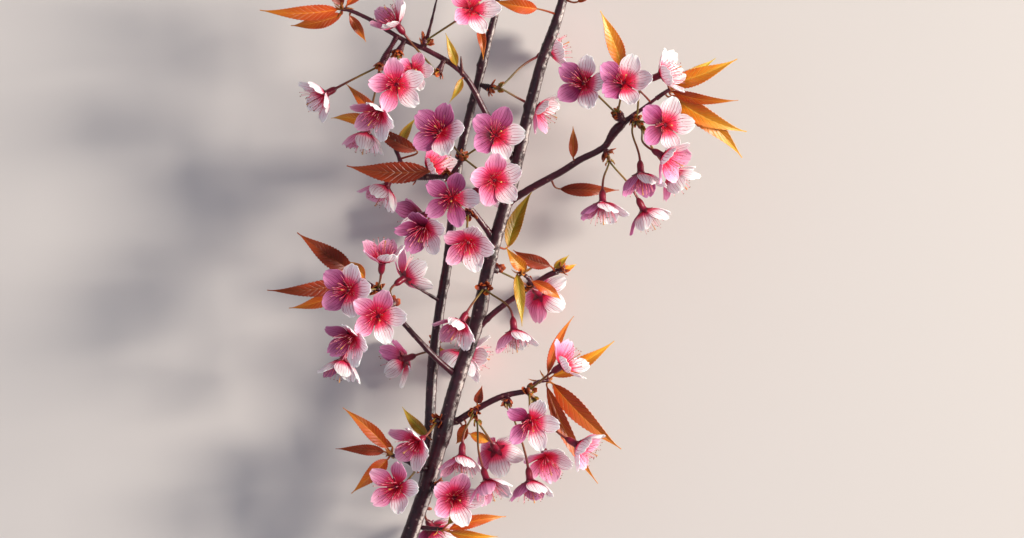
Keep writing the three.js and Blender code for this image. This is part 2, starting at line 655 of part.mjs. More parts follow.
function flowerSolids(flower, root) {
  const facing = new THREE.Vector3(...flower.faces).normalize();
  const centre = flowerCentre(flower, root);
  centre.z += flower.slide ?? 0;
  const turn = new THREE.Quaternion().setFromUnitVectors(new THREE.Vector3(0, 0, 1), facing);
  const pose = new THREE.Matrix4().compose(centre, turn, new THREE.Vector3(1, 1, 1));
  const head = headSolid(flower).transform(pose.elements);
  const foot = centre.clone().addScaledVector(facing, stalkSink - calyxLength);
  return { head, stalk: stalkSolid(root, foot, facing, flower.bow ?? [0, 0]) };
}

// The forked stalk of a pair, and the point its two stalks leave from
function forkSolid(tip, flowers, limb) {
  const lean = flowers.map((flower) => flowerCentre(flower, tip).sub(tip).normalize());
  const toward = lean.reduce((sum, way) => sum.add(way)).normalize();
  const root = tip.clone().addScaledVector(toward, forkLength);
  const end = root.clone().addScaledVector(toward, forkCollar);
  const radiusAt = (along) => THREE.MathUtils.lerp(forkFootRadius, forkEndRadius, along);
  return { root, fork: largest(rod(new THREE.LineCurve3(tip, end), radiusAt, 5, 1).subtract(rooms[limb])) };
}

function spurHolder(spur) {
  const [limb, { spurs }] = Object.entries(limbs).find(([, { spurs: own = {} }]) => spur in own);
  return { limb, tip: spot(spurs[spur]) };
}

for (const { name, spur, flowers } of blooms) {
  const { limb, tip } = spurHolder(spur);
  const forked = flowers.length > 1;
  const { root, fork } = forked ? forkSolid(tip, flowers, limb) : { root: tip };
  const pieces = forked ? [fork] : [];
  const heads = [];
  for (const flower of flowers) {
    const { head, stalk } = flowerSolids(flower, root);
    const stem = forked ? stalk : largest(stalk.subtract(rooms[limb]));
    keepClear(name, head, heads);
    keepClear(name, head);
    keepClear(name, stem);
    heads.push(head);
    pieces.push(largest(head.add(stem)));
  }
  solids[name] = fuse(pieces);
}

function materialOf(name) {
  if (limbs[name]) {
    return name.endsWith("limb") ? bark : twigBark;
  }
  return tufts[name] ? bronzeLeaf : pinkPetal;
}

const branch = new THREE.Group();
branch.rotation.set(layTiltX, layTiltY, 0);
for (const [name, solid] of Object.entries(solids)) {
  branch.add(named(name, solid, materialOf(name)));
}

// The origin goes under the middle of the branch, on the floor
const box = new THREE.Box3().setFromObject(branch, true);
const middle = box.getCenter(new THREE.Vector3());
branch.position.sub(new THREE.Vector3(middle.x, middle.y, box.min.z));

const part = new THREE.Group();
part.add(branch);
export default part;
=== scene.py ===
import functools
import json
import math

import bpy
import numpy as np
from mathutils import Matrix


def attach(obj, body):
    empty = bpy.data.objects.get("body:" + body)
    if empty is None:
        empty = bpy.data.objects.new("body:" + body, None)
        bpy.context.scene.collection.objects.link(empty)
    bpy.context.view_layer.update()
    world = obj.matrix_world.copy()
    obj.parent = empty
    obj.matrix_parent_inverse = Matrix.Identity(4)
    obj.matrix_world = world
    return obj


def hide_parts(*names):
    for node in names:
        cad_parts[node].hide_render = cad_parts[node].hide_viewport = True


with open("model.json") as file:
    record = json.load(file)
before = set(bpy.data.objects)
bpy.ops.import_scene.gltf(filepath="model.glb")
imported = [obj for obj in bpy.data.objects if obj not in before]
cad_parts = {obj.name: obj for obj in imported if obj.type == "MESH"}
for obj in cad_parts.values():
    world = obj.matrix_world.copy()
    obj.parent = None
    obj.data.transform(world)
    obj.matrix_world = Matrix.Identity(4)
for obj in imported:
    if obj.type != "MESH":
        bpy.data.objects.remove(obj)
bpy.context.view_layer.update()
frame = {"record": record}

# A cut branch of a flowering cherry lying on a pale floor, seen from above. Shapes are worked out in
# millimetres in the limbs' plane, as the solids are, and go into the frame at the end.
view = {
    "pixelMm": 0.5,           # a full bloom is 60 pixels and 30 mm across
    "framePx": (1024, 538),
    "tiltX": 2.58,            # how the branch lies on its lowest blooms, in degrees
    "tiltY": 4.49,
    "lowestMm": 0.15,         # nothing goes nearer the floor
    "cameraMm": 5200,         # far off, so that near and far flowers keep their places
    "cutEnd": (389, 594, 0),  # where the main limb was cut, at the mount of that name
    "sunward": (0.9, -0.25, 0.35),            # petals that look this way get the pale copy of painted sunlight
    "highlightFrom": (0.75, -0.22, 0.62),      # bark that looks this way gets the painted highlight
}
random = np.random.default_rng(20)
fullTurn = 6.28               # radians, for angles drawn at random
upward = np.array([0.0, 0.0, 1.0])


def unit(vectors):
    # a vector over its own length
    return vectors / np.linalg.norm(vectors, axis=-1, keepdims=True)


def turn(axis, degrees):
    # the 3 x 3 matrix of a turn about one axis
    return np.array(Matrix.Rotation(math.radians(degrees), 3, axis))


def spot(place):
    # x and y from pixels about the picture's middle, y upward, and the height as it is
    place = np.asarray(place, float)
    middle = np.array(view["framePx"]) / 2
    return np.stack([(place[..., 0] - middle[0]) * view["pixelMm"],
                     (middle[1] - place[..., 1]) * view["pixelMm"], place[..., 2]], axis=-1)


lie = turn("X", view["tiltX"]) @ turn("Y", view["tiltY"])
cutMount = next(mount for mount in frame["record"]["mounts"] if mount["name"] == "cut_end")
shift = np.array(cutMount["pos_m"]) * 1000 - lie @ spot(view["cutEnd"])


def intoFrame(points):
    # turned as the branch lies, moved onto the frame, kept off the floor, and in metres
    points = points @ lie.T + shift
    points[:, 2] = np.maximum(points[:, 2], view["lowestMm"])
    return points / 1000


# Limbs: path in pixels and height in mm, radius at shares of the way, swellings there, the spurs of the
# blossom, and single leaves. The others grow from the main limb.
limbs = {
    "main_limb": {
        "path": [(389, 594, 0), (409, 538, 1), (428, 483, 2), (443, 432, 2), (460, 373, 1), (477, 322, 0),
                 (490, 260, 0), (513, 178, 1), (527, 119, 1), (543, 59, 0), (557, 20, 0), (568, -22, -1),
                 (573, -58, 1), (581, -92, 4)],
        "taper": [(0, 4.2), (0.18, 3.9), (0.82, 2.75), (1, 0.9)],
        "swellings": [(0.24, 0.9), (0.42, 0.35), (0.6, 0.35)],
        "spurs": {"mainLow": (437, 486, 6), "mainLeft": (437, 421, 6), "mainFork": (419, 467, 7),
                  "mainMid": (484, 288, 6), "mainBack": (470, 322, -8), "mainRight": (497, 270, -8),
                  "mainLowBack": (424, 508, -7)},
        "leaves": [((508, 247, -4), (533, 190, -5), 3.2, -3), ((537, 9, 5), (493, 1, 8), 3, 4)]},
    "back_limb": {
        "path": [(403, 555, 0), (414, 523, -7), (424, 483, -12), (429, 432, -15), (432, 375, -18),
                 (439, 313, -20), (447, 264, -21), (458, 164, -21), (466, 128, -20), (476, 89, -19),
                 (488, 40, -18), (497, 6, -18), (502, -26, -17), (509, -54, -15)],
        "taper": [(0, 2.9), (0.3, 2.65), (0.85, 2), (1, 0.9)],
        "swellings": [(0.33, 0.4), (0.62, 0.3), (0.81, 0.4)],
        "spurs": {"backHigh": (491, 88, -16), "backMid": (453, 204, -26), "backLow": (436, 343, -24)}},
    "twig_upper_left": {
        "path": [(517, 165, 0), (487, 115, 5), (462, 73, 9), (430, 52, 11), (403, 40, 12), (372, 21, 13),
                 (351, 11, 13)],
        "taper": [(0, 1.75), (0.5, 1.4), (1, 0.95)],
        "spurs": {"upperLeftTip": (381, 66, 15), "upperLeftBend": (399, 53, 15), "upperLeftLow": (438, 74, 15),
                  "upperLeftTop": (425, 42, 14)},
        "leaves": [((462, 79, 10), (450, 102, 13), 1.6, 1)]},
    "twig_left": {
        "path": [(493, 238, 0), (475, 214, 5), (459, 192, 9), (452, 177, 12), (460, 163, 14)],
        "taper": [(0, 1.6), (1, 1.1)],
        "spurs": {"leftTip": (463, 158, 16), "leftBend": (448, 176, 16), "leftSide": (414, 177, 12),
                  "leftRoot": (468, 214, 10), "leftElbow": (457, 202, 11)}},
    "twig_mid_left": {
        "path": [(459, 378, 0), (436, 358, 4), (418, 339, 8), (403, 322, 10), (388, 303, 12), (380, 293, 13)],
        "taper": [(0, 1.7), (1, 1.1)],
        "spurs": {"midLeftTip": (378, 289, 15), "midLeftBend": (389, 309, 16), "midLeftBack": (393, 303, 7)}},
    "twig_upper_right": {
        "path": [(507, 203, 0), (535, 186, 4), (561, 172, 7), (580, 160, 9), (604, 147, 11), (615, 131, 13),
                 (630, 118, 14), (645, 107, 15), (657, 98, 16)],
        "taper": [(0, 1.9), (0.66, 1.6), (0.8, 1.5), (0.88, 1.0), (1, 0.8)],
        "swellings": [(0.67, 0.25), (0.69, 0.45), (0.71, 0.6), (0.73, 0.7), (0.75, 0.7), (0.77, 0.45)],
        "spurs": {"upperRightKnee": (617, 115, 16), "upperRightLow": (607, 153, 12),
                  "upperRightBend": (635, 121, 17)},
        "leaves": [((622, 68, 22), (600, 12, 24), 3.4, -3), ((560, 189, -2), (620, 190, -8), 2.8, 3)]},
    "twig_right": {
        "path": [(479, 326, 0), (500, 308, 3), (524, 291, 5), (547, 276, 7), (556, 272, 8)],
        "taper": [(0, 1.6), (0.8, 1.3), (1, 1.5)],
        "spurs": {"rightMid": (530, 284, 8), "rightEnd": (562, 268, 9)},
        "leaves": [((554, 268, 9), (569, 255, 10), 1.5, 1)]},
    "twig_lower_right": {
        "path": [(457, 421, 0), (480, 407, 5), (503, 396, 8), (526, 391, 10)],
        "taper": [(0, 1.8), (1, 1.35)],
        "spurs": {"lowerRightTip": (529, 390, 12), "lowerRightMid": (508, 401, 10),
                  "lowerRightRoot": (474, 412, 9)},
        "leaves": [((477, 403, 9), (482, 386, 14), 1.9, 0)]},
}

# Masses of young leaves, each on a short stem of its limb. A leaf is its base, its tip, half its width and
# how far it arches up from base to tip, in mm.
tufts = {
    "leaves_top": {"limb": "main_limb", "stem": [(580, -90, 4), (584, -104, 6), (587, -114, 8)],
        "leaves": [((582, -112, 7), (557, -172, 12), 3.6, 4), ((588, -118, 9), (604, -176, 2), 3.3, 3),
                   ((590, -112, 8), (655, -140, 14), 3.7, 5), ((586, -108, 8), (532, -124, -4), 3.2, 4)]},
    "leaves_back_top": {"limb": "back_limb", "stem": [(508, -52, -15), (511, -64, -14), (513, -72, -13)],
        "leaves": [((509, -70, -13), (474, -121, -8), 3.4, 4), ((514, -76, -13), (523, -136, -18), 3.2, 3),
                   ((511, -66, -14), (459, -74, -24), 3, 4), ((516, -70, -12), (548, -104, -26), 2.8, 3)]},
    "leaves_upper_left": {"limb": "twig_upper_left", "stem": [(352, 11, 13), (346, 10, 13), (341, 10, 13)],
        "leaves": [((338, 10, 13), (261, 11, 20), 3.2, 4), ((342, 15, 12), (291, 26, 6), 3, 3),
                   ((343, 6, 14), (327, -30, 18), 2.8, 2), ((347, 6, 12), (366, -22, 4), 2.2, 2)]},
    "leaves_left": {"limb": "twig_left", "stem": [(414, 177, 12), (404, 168, 15), (396, 150, 12),
         (382, 125, 8)],
        "leaves": [((379, 122, 8), (346, 84, 10), 2.8, 3), ((378, 126, 7), (330, 118, 0), 2.5, 3)]},
    "leaves_upper_right": {"limb": "twig_upper_right", "stem": [(656, 99, 16), (663, 94, 17), (669, 90, 17)],
        "leaves": [((668, 85, 18), (736, 60, 24), 3.6, 4), ((672, 92, 17), (736, 101, 28), 2.3, 3),
                   ((671, 96, 15), (746, 132, 14), 4, 4), ((667, 97, 14), (742, 158, 4), 4.2, 5)]},
    "leaves_right": {"limb": "twig_right", "stem": [(532, 284, 10), (528, 278, 13), (521, 272, 14)],
        "leaves": [((526, 270, 14), (506, 247, 18), 2.7, 2), ((517, 274, 13), (522, 326, 17), 2.3, 2),
                   ((532, 281, 12), (562, 300, 4), 2.4, 3)]},
    "leaves_mid_left": {"limb": "twig_mid_left", "stem": [(380, 292, 13), (366, 282, 8), (353, 279, 5)],
        "leaves": [((352, 271, 6), (298, 233, 10), 4.2, 4), ((347, 281, 5), (268, 290, 14), 3.3, 5),
                   ((349, 286, 4), (289, 308, 0), 3, 4)]},
    "leaves_lower_right": {"limb": "twig_lower_right", "stem": [(525, 392, 10), (538, 382, 6), (548, 380, 4)],
        "leaves": [((553, 376, 4), (614, 341, 8), 3.1, 3), ((553, 384, 3), (621, 449, 4), 4, 5),
                   ((547, 387, 1), (598, 484, -12), 2.9, 4)]},
    "leaves_lower_left": {"limb": "main_limb", "stem": [(428, 476, 0), (414, 466, -5), (401, 459, -8),
         (391, 455, -9)],
        "leaves": [((387, 448, -8), (343, 408, -2), 3, 3), ((384, 452, -9), (336, 449, -4), 2.3, 3),
                   ((387, 460, -9), (352, 493, -3), 3.2, 3)]},
    "leaves_low": {"limb": "main_limb", "stem": [(413, 527, 0), (428, 528, 2), (443, 529, 4)],
        "leaves": [((450, 532, 4), (497, 536, 8), 2, 3), ((448, 524, 5), (489, 492, 12), 1.9, 3),
                   ((449, 529, 2), (506, 517, -6), 2.6, 3)]},
}

# Blooms, each with its spur, its tints and its one or two flowers. Tints are how far painted sunlight reaches
# over the petals, giving more of them the pale sunlit copy, and the chance that the others get the mauve copy
# of painted shade and not pink. A flower is its centre in pixels, the way it faces, its reach from spur to
# centre in mm, negative below the spur, and how far its petals rise from flat in degrees; slide, spin and bow
# lift it, turn it on its axis and bend its stalk, as its solid is.
plainLightAndShade = (0, 0.25)
blooms = {
    "upper_left": [
        ("upperLeftTip", (0.7, 1), ((326, 95), (-0.8, -0.45, 0.35), 32, 38)),
        ("upperLeftTip", (0.4, 0), ((380, 113), (-0.5, -0.6, 0.6), 28, 40),
         ((366, 132), (-0.2, -0.95, 0.1), -34, 45, {"slide": -8})),
        ("upperLeftBend", (-0.1, 0), ((397, 86), (0.1, -0.2, 1), 28, 18, {"spin": 24})),
        ("upperLeftLow", plainLightAndShade, ((414, 73), (0.1, 0.1, 1), 18, 30, {"size": 0.72, "slide": -2})),
        ("upperLeftLow", plainLightAndShade, ((397, 25), (-0.55, 0.7, 0.4), 32, 42)),
        ("upperLeftTop", plainLightAndShade, ((472, 10), (0.3, 0.25, 0.95), 31, 24))],
    "left": [
        ("leftTip", (0.25, 1), ((440, 132), (-0.25, 0.2, 1), 26, 20)),
        ("leftTip", (-0.2, 1), ((496, 136), (0.2, 0.15, 1), 27, 22)),
        ("leftBend", (-0.5, 1), ((452, 199), (-0.05, -0.15, 1), 26, 18)),
        ("leftTip", (0, 0), ((495, 181), (0.25, -0.1, 1), 28, 24, {"slide": 4, "spin": 24})),
        ("leftElbow", (0.1, 1), ((424, 229), (-0.25, -0.55, 0.75), 28, 26, {"spin": 24})),
        ("leftRoot", (0.45, 0), ((468, 243), (0.05, -0.5, 0.85), 26, 26)),
        ("leftSide", plainLightAndShade, ((386, 186), (-0.5, -0.85, 0.1), -24, 44),
         ((430, 168), (0.5, 0.3, 0.4), -22, 42))],
    "upper_right": [
        ("upperRightKnee", (0.5, 1), ((583, 84), (-0.3, 0.2, 0.95), 27, 20)),
        ("upperRightKnee", (0.3, 1), ((623, 84), (0.05, 0.3, 0.95), 27, 20)),
        ("upperRightBend", (0.3, 1), ((660, 76), (0.85, 0.35, 0.35), 29, 40)),
        ("upperRightBend", (0.45, 1), ((664, 126), (0.25, -0.05, 1), 26, 18)),
        ("upperRightBend", plainLightAndShade, ((662, 157), (0.8, -0.45, 0.35), 26, 40, {"slide": 8}),
         ((672, 173), (0.6, -0.7, -0.2), -34, 40)),
        ("upperRightBend", plainLightAndShade, ((640, 174), (0.05, -0.95, 0.3), 30, 42, {"bow": (-0.7, 0)})),
        ("upperRightLow", plainLightAndShade, ((602, 203), (0, -0.98, 0.25), 28, 36),
         ((644, 210), (0.45, -0.85, -0.1), -36, 38))],
    "mid_left": [
        ("midLeftTip", (0.35, 1), ((349, 290), (-0.3, 0, 0.95), 26, 20)),
        ("midLeftBend", (-0.1, 0), ((379, 316), (0.05, -0.2, 1), 25, 20, {"slide": 2})),
        ("midLeftTip", plainLightAndShade, ((383, 262), (0.1, 0.9, 0.4), 20, 44)),
        ("midLeftBend", (0.5, 1), ((353, 337), (-0.5, -0.5, 0.7), 29, 34, {"slide": 2}),
         ((343, 360), (-0.2, -0.95, 0.1), -35, 44)),
        ("midLeftBack", plainLightAndShade, ((404, 278), (0.7, 0.5, -0.5), -24, 36))],
    "centre": [
        ("mainMid", (0.3, 0), ((461, 322), (-0.45, -0.75, 0.45), 25, 40)),
        ("mainMid", (0.3, 0), ((514, 330), (0.1, -0.97, 0.2), 28, 42)),
        ("mainBack", plainLightAndShade, ((462, 352), (-0.3, -0.85, -0.2), -22, 34, {"spin": 24}))],
    "lower_left": [
        ("mainLeft", plainLightAndShade, ((417, 442), (-0.6, -0.45, 0.65), 21, 30)),
        ("mainFork", (0, 0), ((397, 486), (-0.35, -0.1, 0.95), 26, 26)),
        ("mainLow", (0, 0), ((455, 497), (0.2, -0.1, 1), 24, 24)),
        ("mainLowBack", plainLightAndShade, ((432, 530), (0.4, -0.6, -0.6), -24, 34, {"bow": (-0.7, 0)}))],
    "lower_right": [
        ("lowerRightRoot", plainLightAndShade, ((462, 455), (-0.05, -0.97, 0.25), 26, 44)),
        ("lowerRightTip", (0.35, 1), ((531, 421), (0.05, -0.4, 0.9), 26, 24)),
        ("lowerRightTip", plainLightAndShade, ((577, 444), (0.85, -0.5, 0.2), 36, 40),
         ((546, 458), (0.2, -0.75, 0.6), -37, 30)),
        ("lowerRightMid", plainLightAndShade, ((530, 480), (0.15, -0.97, 0.15), 42, 42)),
        ("lowerRightRoot", plainLightAndShade, ((487, 479), (0.3, -0.9, 0.25), 35, 40, {"slide": 6, "spin": 48}),
         ((496, 450), (0.3, -0.5, -0.75), -28, 30)),
        ("lowerRightTip", plainLightAndShade, ((562, 365), (0.75, 0.5, 0.4), 24, 36))],
    "back": [
        ("backHigh", plainLightAndShade, ((549, 50), (0.85, 0.4, -0.1), -35, 36),
         ((537, 107), (0.75, -0.4, 0.2), -27, 36)),
        ("backMid", plainLightAndShade, ((420, 216), (-0.8, -0.3, -0.5), -23, 34),
         ((484, 188), (0.9, 0.2, -0.25), -18, 34)),
        ("backLow", plainLightAndShade, ((404, 360), (-0.8, -0.3, -0.5), -23, 34),
         ((468, 356), (0.9, -0.2, -0.25), -17, 34, {"slide": -4, "spin": 24})),
        ("mainRight", plainLightAndShade, ((540, 294), (0.5, -0.35, -0.75), -40, 30))],
}


def smoothPath(places, perSpan=16):
    # each span is a cubic whose end slopes come from its neighbours, with knots the root of the distance apart
    points = spot(places)
    points = np.vstack([2 * points[0] - points[1], points, 2 * points[-1] - points[-2]])
    knots = np.sqrt(np.linalg.norm(np.diff(points, axis=0), axis=1))[:, None]
    before, start, end, after = points[:-3], points[1:-2], points[2:-1], points[3:]
    first, span, last = knots[:-2], knots[1:-1], knots[2:]
    leave = ((start - before) / first - (end - before) / (first + span) + (end - start) / span) * span
    arrive = ((end - start) / span - (after - start) / (span + last) + (after - end) / last) * span
    start, end, leave, arrive = (side[:, None] for side in (start, end, leave, arrive))
    share = np.linspace(0, 1, perSpan, endpoint=False)[None, :, None]
    cubic = (start + leave * share + (3 * end - 3 * start - 2 * leave - arrive) * share ** 2
             + (2 * start - 2 * end + leave + arrive) * share ** 3)
    return np.vstack([cubic.reshape(-1, 3), points[-2]])


def evenly(path, step):
    # the same path in equal steps of about that length, each point's share of the way, and the whole length
    run = np.concatenate([[0], np.cumsum(np.linalg.norm(np.diff(path, axis=0), axis=1))])
    share = np.linspace(0, 1, max(round(run[-1] / step), 3) + 1)
    return np.stack([np.interp(share * run[-1], run, path[:, k]) for k in range(3)], axis=-1), share, run[-1]


def bent(start, end, leaving, arriving, count):
    # cubic curve: start, two handles and end weighted by the four products of share and what is left of it
    share = np.linspace(0, 1, count)[:, None]
    rest = 1 - share
    return (start * rest ** 3 + 3 * leaving * rest ** 2 * share + 3 * arriving * rest * share ** 2
            + end * share ** 3)


def nearestOn(path, point):
    # the path's point with the least distance
    return path[np.argmin(np.linalg.norm(path - point, axis=1))]


def cells(grid):
    # the four corners of each cell, in order round it
    corners = grid[:-1, :-1], grid[:-1, 1:], grid[1:, 1:], grid[1:, :-1]
    return np.stack(corners, axis=2).reshape(-1, 4, *grid.shape[2:])


def tube(path, radius, sides, strip=(0.02, 0.98)):
    # a ring at each point, square to the path: centre + radius * (side * cos angle + other * sin angle),
    # closed by a point at each end. Its UV runs across the strip's width and along from 0 to 1.
    count = len(path)
    tangent = unit(np.gradient(path, axis=0))
    side = unit(np.cross(tangent, np.linalg.svd(tangent, full_matrices=False)[2][-1]))
    other = np.cross(tangent, side)
    angle = np.linspace(0, 2 * math.pi, sides, endpoint=False)[None, :, None]
    radius = np.broadcast_to(np.asarray(radius, float).reshape(count, -1), (count, sides))[..., None]
    rings = path[:, None] + radius * (side[:, None] * np.cos(angle) + other[:, None] * np.sin(angle))
    index = np.arange(count * sides).reshape(count, sides)
    index = np.hstack([index, index[:, :1]])
    uv = np.stack(np.meshgrid(np.linspace(*strip, sides + 1), np.linspace(0.02, 0.98, count)), axis=-1)
    middle = (uv[0, :-1, 0] + uv[0, 1:, 0]) / 2
    triangles, triangleUv = [], []
    for end, near, far in ((0, slice(1, None), slice(-1)), (1, slice(-1), slice(1, None))):
        apex, apexUv = np.full(sides, count * sides + end), np.stack([middle, np.full(sides, end)], 1)
        triangles.append(np.stack([apex, index[-end, near], index[-end, far]], 1))
        triangleUv.append(np.stack([apexUv, uv[-end, near], uv[-end, far]], 1))
    points = np.vstack([rings.reshape(-1, 3), path[:1], path[-1:]])
    return points, cells(index), np.vstack(triangles), cells(uv), np.vstack(triangleUv)


def closedSheet(grid, thickness):
    # two copies of a grid of points, half the thickness either side along the normal, joined by a rim
    rows, columns = grid.shape[:2]
    normal = unit(np.cross(np.gradient(grid, axis=1), np.gradient(grid, axis=0)))
    points = np.vstack([(grid + normal * thickness / 2).reshape(-1, 3),
                        (grid - normal * thickness / 2).reshape(-1, 3)])
    index = np.arange(rows * columns).reshape(rows, columns)
    top, under = cells(index), rows * columns
    edge = np.concatenate([index[0], index[1:, -1], index[-1, -2::-1], index[-2:0:-1, 0]])
    after = np.roll(edge, -1)
    rim = np.stack([edge + under, after + under, after, edge], axis=-1)
    uv = np.stack(np.meshgrid(np.linspace(0, 1, columns), np.linspace(0, 1, rows)), axis=-1).reshape(-1, 2)
    uv = np.vstack([uv, 0.02 + 0.96 * uv])
    quads = np.vstack([top, top[:, ::-1] + under, rim])
    return points, quads, np.zeros((0, 3), int), uv[quads], np.zeros((0, 3, 2))


def blade(base, tip, up, half, outline, rows, columns, arch=0.0, sweep=0.0, fold=0.0, curl=0.0, tooth=0.0,
          wave=0.0, thickness=0.3, twist=0.0):
    # base + chord * s + side * (half * width(s) * t + sweep 4s(1-s)) + up * rise, where width is s^a (1-s)^b
    # brought to 1 at its widest and rise is the arch 4s(1-s), the fold with |t|, the curl with s^3, a wave
    # along the edge and the twist with s
    s, t = np.meshgrid(np.linspace(0, 1, rows), np.linspace(-1, 1, columns), indexing="ij")
    chord = tip - base
    side = unit(np.cross(chord, up))
    up = unit(np.cross(side, chord))
    a, b = outline
    peak = a / (a + b)
    width = s ** a * (1 - s) ** b / (peak ** a * (1 - peak) ** b)
    width = np.maximum(width, 0.05) * (1 + tooth * np.abs(t) ** 5 * (np.arange(rows) % 2)[:, None])
    across = half * width * t
    phase = random.uniform(0, fullTurn)
    rise = (arch * 4 * s * (1 - s) + fold * np.abs(across) + curl * s ** 3
            + wave * np.sin(s * 17 + phase) * np.abs(t) ** 3 * width + across * np.tan(np.radians(twist * s)))
    bowed = across + sweep * 4 * s * (1 - s)
    grid = base + chord * s[..., None] + side * bowed[..., None] + up * rise[..., None]
    return closedSheet(grid, thickness)


def colour(hexText):
    # sRGB hex to linear: below 0.04045 over 12.92, above it ((c + 0.055) / 1.055) ^ 2.4
    srgb = [int(hexText[k:k + 2], 16) / 255 for k in (1, 3, 5)]
    return tuple(c / 12.92 if c <= 0.04045 else ((c + 0.055) / 1.055) ** 2.4 for c in srgb) + (1.0,)


def addNode(tree, kind, settings):
    # a node with its properties, its colour stops, its sockets' values and its links; a link is the node it
    # comes from, or that node and which of its outputs
    node = tree.nodes.new("ShaderNode" + kind)
    for key, value in settings.items():
        source, output = value if isinstance(value, tuple) and len(value) == 2 else (value, 0)
        if isinstance(source, bpy.types.Node):
            tree.links.new(source.outputs[output], node.inputs[key])
        elif key == "stops":
            while len(node.color_ramp.elements) < len(value):
                node.color_ramp.elements.new(0.5)
            for element, (position, stop) in zip(node.color_ramp.elements, value):
                element.position = position
                element.color = colour(stop) if isinstance(stop, str) else (stop, stop, stop, 1)
        elif isinstance(key, int) or key in node.inputs:
            node.inputs[key].default_value = value
        else:
            setattr(node, key, value)
    return node


def newMaterial(name):
    # a material of that name, and addNode for its empty tree
    material = bpy.data.materials.new(name)
    material.use_nodes = True
    material.node_tree.nodes.clear()
    return material, functools.partial(addNode, material.node_tree)


pieceParts = {}               # the parts of each piece, as points, quads, triangles and their UVs


def keep(name, part):
    # one more part for a piece
    pieceParts.setdefault(name, []).append(part)


def addPiece(name, material, nodes=()):
    # the parts' points, faces and UVs one after another in one mesh
    parts = pieceParts[name]
    starts = np.cumsum([0] + [len(part[0]) for part in parts])[:-1]
    points = intoFrame(np.vstack([part[0] for part in parts]))
    quads, triangles = (np.vstack([part[k] + start for part, start in zip(parts, starts)]) for k in (1, 2))
    own = np.vstack([part[k].reshape(-1, 2) for k in (3, 4) for part in parts])
    # each part's pattern a whole step aside of the last, for 61 different looks
    step = np.concatenate([np.full(part[k].size // 2, n % 61) for k in (3, 4) for n, part in enumerate(parts)])
    mesh = bpy.data.meshes.new(name)
    mesh.from_pydata(points.tolist(), [], quads.tolist() + triangles.tolist())
    surface = own + np.stack([step, 0 * step], axis=-1)
    mesh.uv_layers.new(name="surface").data.foreach_set("uv", surface.ravel())
    mesh.uv_layers.new(name="OFBake").data.foreach_set("uv", own.ravel())
    mesh.polygons.foreach_set("use_smooth", np.ones(len(mesh.polygons), bool))
    mesh.set_sharp_from_angle(angle=math.radians(50))
    mesh.materials.append(material)
    piece = bpy.data.objects.new(name, mesh)
    bpy.context.scene.collection.objects.link(piece)
    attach(piece, "root")
    if nodes:
        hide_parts(*nodes)
    print(name, len(parts), "parts,", len(quads) * 2 + len(triangles), "triangles")
    return piece


# Young cherry bark, smooth and grown in the sun. It gives the eye a dark purple-brown skin with a thin waxy
# shine, tones that change every 6 mm, pale lenticels 4 mm apart, grey film where the outer skin has split,
# drawn at 2.4 mm so that it shows, and a painted highlight: a pale patchy streak along the side facing the
# light.
def barkMaterial(name, dark, light, film, highlightTint):
    material, add = newMaterial(name)
    place = add("TexCoord", {}), "Object"
    patches = add("TexNoise", {"Scale": 160.0, "Detail": 4.0, "Roughness": 0.6, "Vector": place})
    spots = add("TexVoronoi", {"Scale": 260.0, "Vector": place})
    lenticels = add("ValToRGB", {"stops": [(0.12, 0.75), (0.19, 0.0)], "Fac": spots})
    skin = add("ValToRGB", {"stops": [(0.32, dark), (0.55, light), (0.78, dark)], "Fac": patches})
    grain = add("TexNoise", {
        "Scale": 420.0, "Detail": 3.0, "Roughness": 0.7, "Distortion": 0.6, "Vector": place})
    split = add("ValToRGB", {"stops": [(0.6, 0.0), (0.72, 1.0)], "Fac": grain})
    less = add("Math", {"operation": "MULTIPLY", 0: split, 1: 0.3})
    shown = add("Math", {"operation": "MAXIMUM", 0: less, 1: lenticels})
    base = add("Mix", {"data_type": "RGBA", 0: shown, 6: skin, 7: colour(film)})
    # painted highlight: a pale streak, broken into patches, on the side that faces the light
    weathered = add("Attribute", {"attribute_name": "weathered"})
    sunny = add("ValToRGB", {"stops": [(0.925, 0.0), (0.985, 0.9)], "Fac": (weathered, "Fac")})
    highlightBreakNoise = add("Math", {"operation": "MULTIPLY", 0: patches, 1: grain})
    highlightPatches = add("ValToRGB", {"stops": [(0.19, 0.05), (0.29, 1.0)], "Fac": highlightBreakNoise})
    pale = add("Math", {"operation": "MULTIPLY", 0: sunny, 1: highlightPatches})
    whole = add("Mix", {"data_type": "RGBA", 0: pale, 6: (base, 2), 7: colour(highlightTint)})
    bump = add("Bump", {"Strength": 0.22, "Distance": 0.0002, "Height": grain})
    add("OutputMaterial", {"Surface": add("BsdfPrincipled", {
        "Roughness": 0.36, "IOR": 1.45, "Coat Weight": 0.15, "Coat Roughness": 0.25,
        "Base Color": (whole, 2), "Normal": bump})})
    return material


def storeSunFacing(piece):
    # for each point how squarely its normal looks toward the light of the painted highlight, 0 to 1
    normals = np.empty(len(piece.data.vertices) * 3, np.float32)
    piece.data.vertices.foreach_get("normal", normals)
    facing = np.clip(normals.reshape(-1, 3) @ unit(np.array(view["highlightFrom"])), 0, 1)
    piece.data.attributes.new("weathered", "FLOAT", "POINT").data.foreach_set("value", facing)


# Limbs: the path carries a ring whose radius follows the taper and swellings, with lumps, scars and lenticels
bark = {
    "stepMm": 0.5,
    "sidesPerMm": 7.0,        # for each millimetre of radius
    "swellingWidth": 0.014,
    "flare": 0.3,             # how much a twig widens where it leaves its limb
    "flareFadeMm": (3.4, 2),  # where that starts to fade and how fast
    "lumps": 14,
    "lumpMm": 0.025,
    "scarSpacingMm": 19.0,
    "scarMm": (0.5, 1.3, 1.5),        # height, reach along and reach round
    "lenticelsPerMm": 0.8,
    "lenticelMm": (0.17, 0.4, 1.1),
}


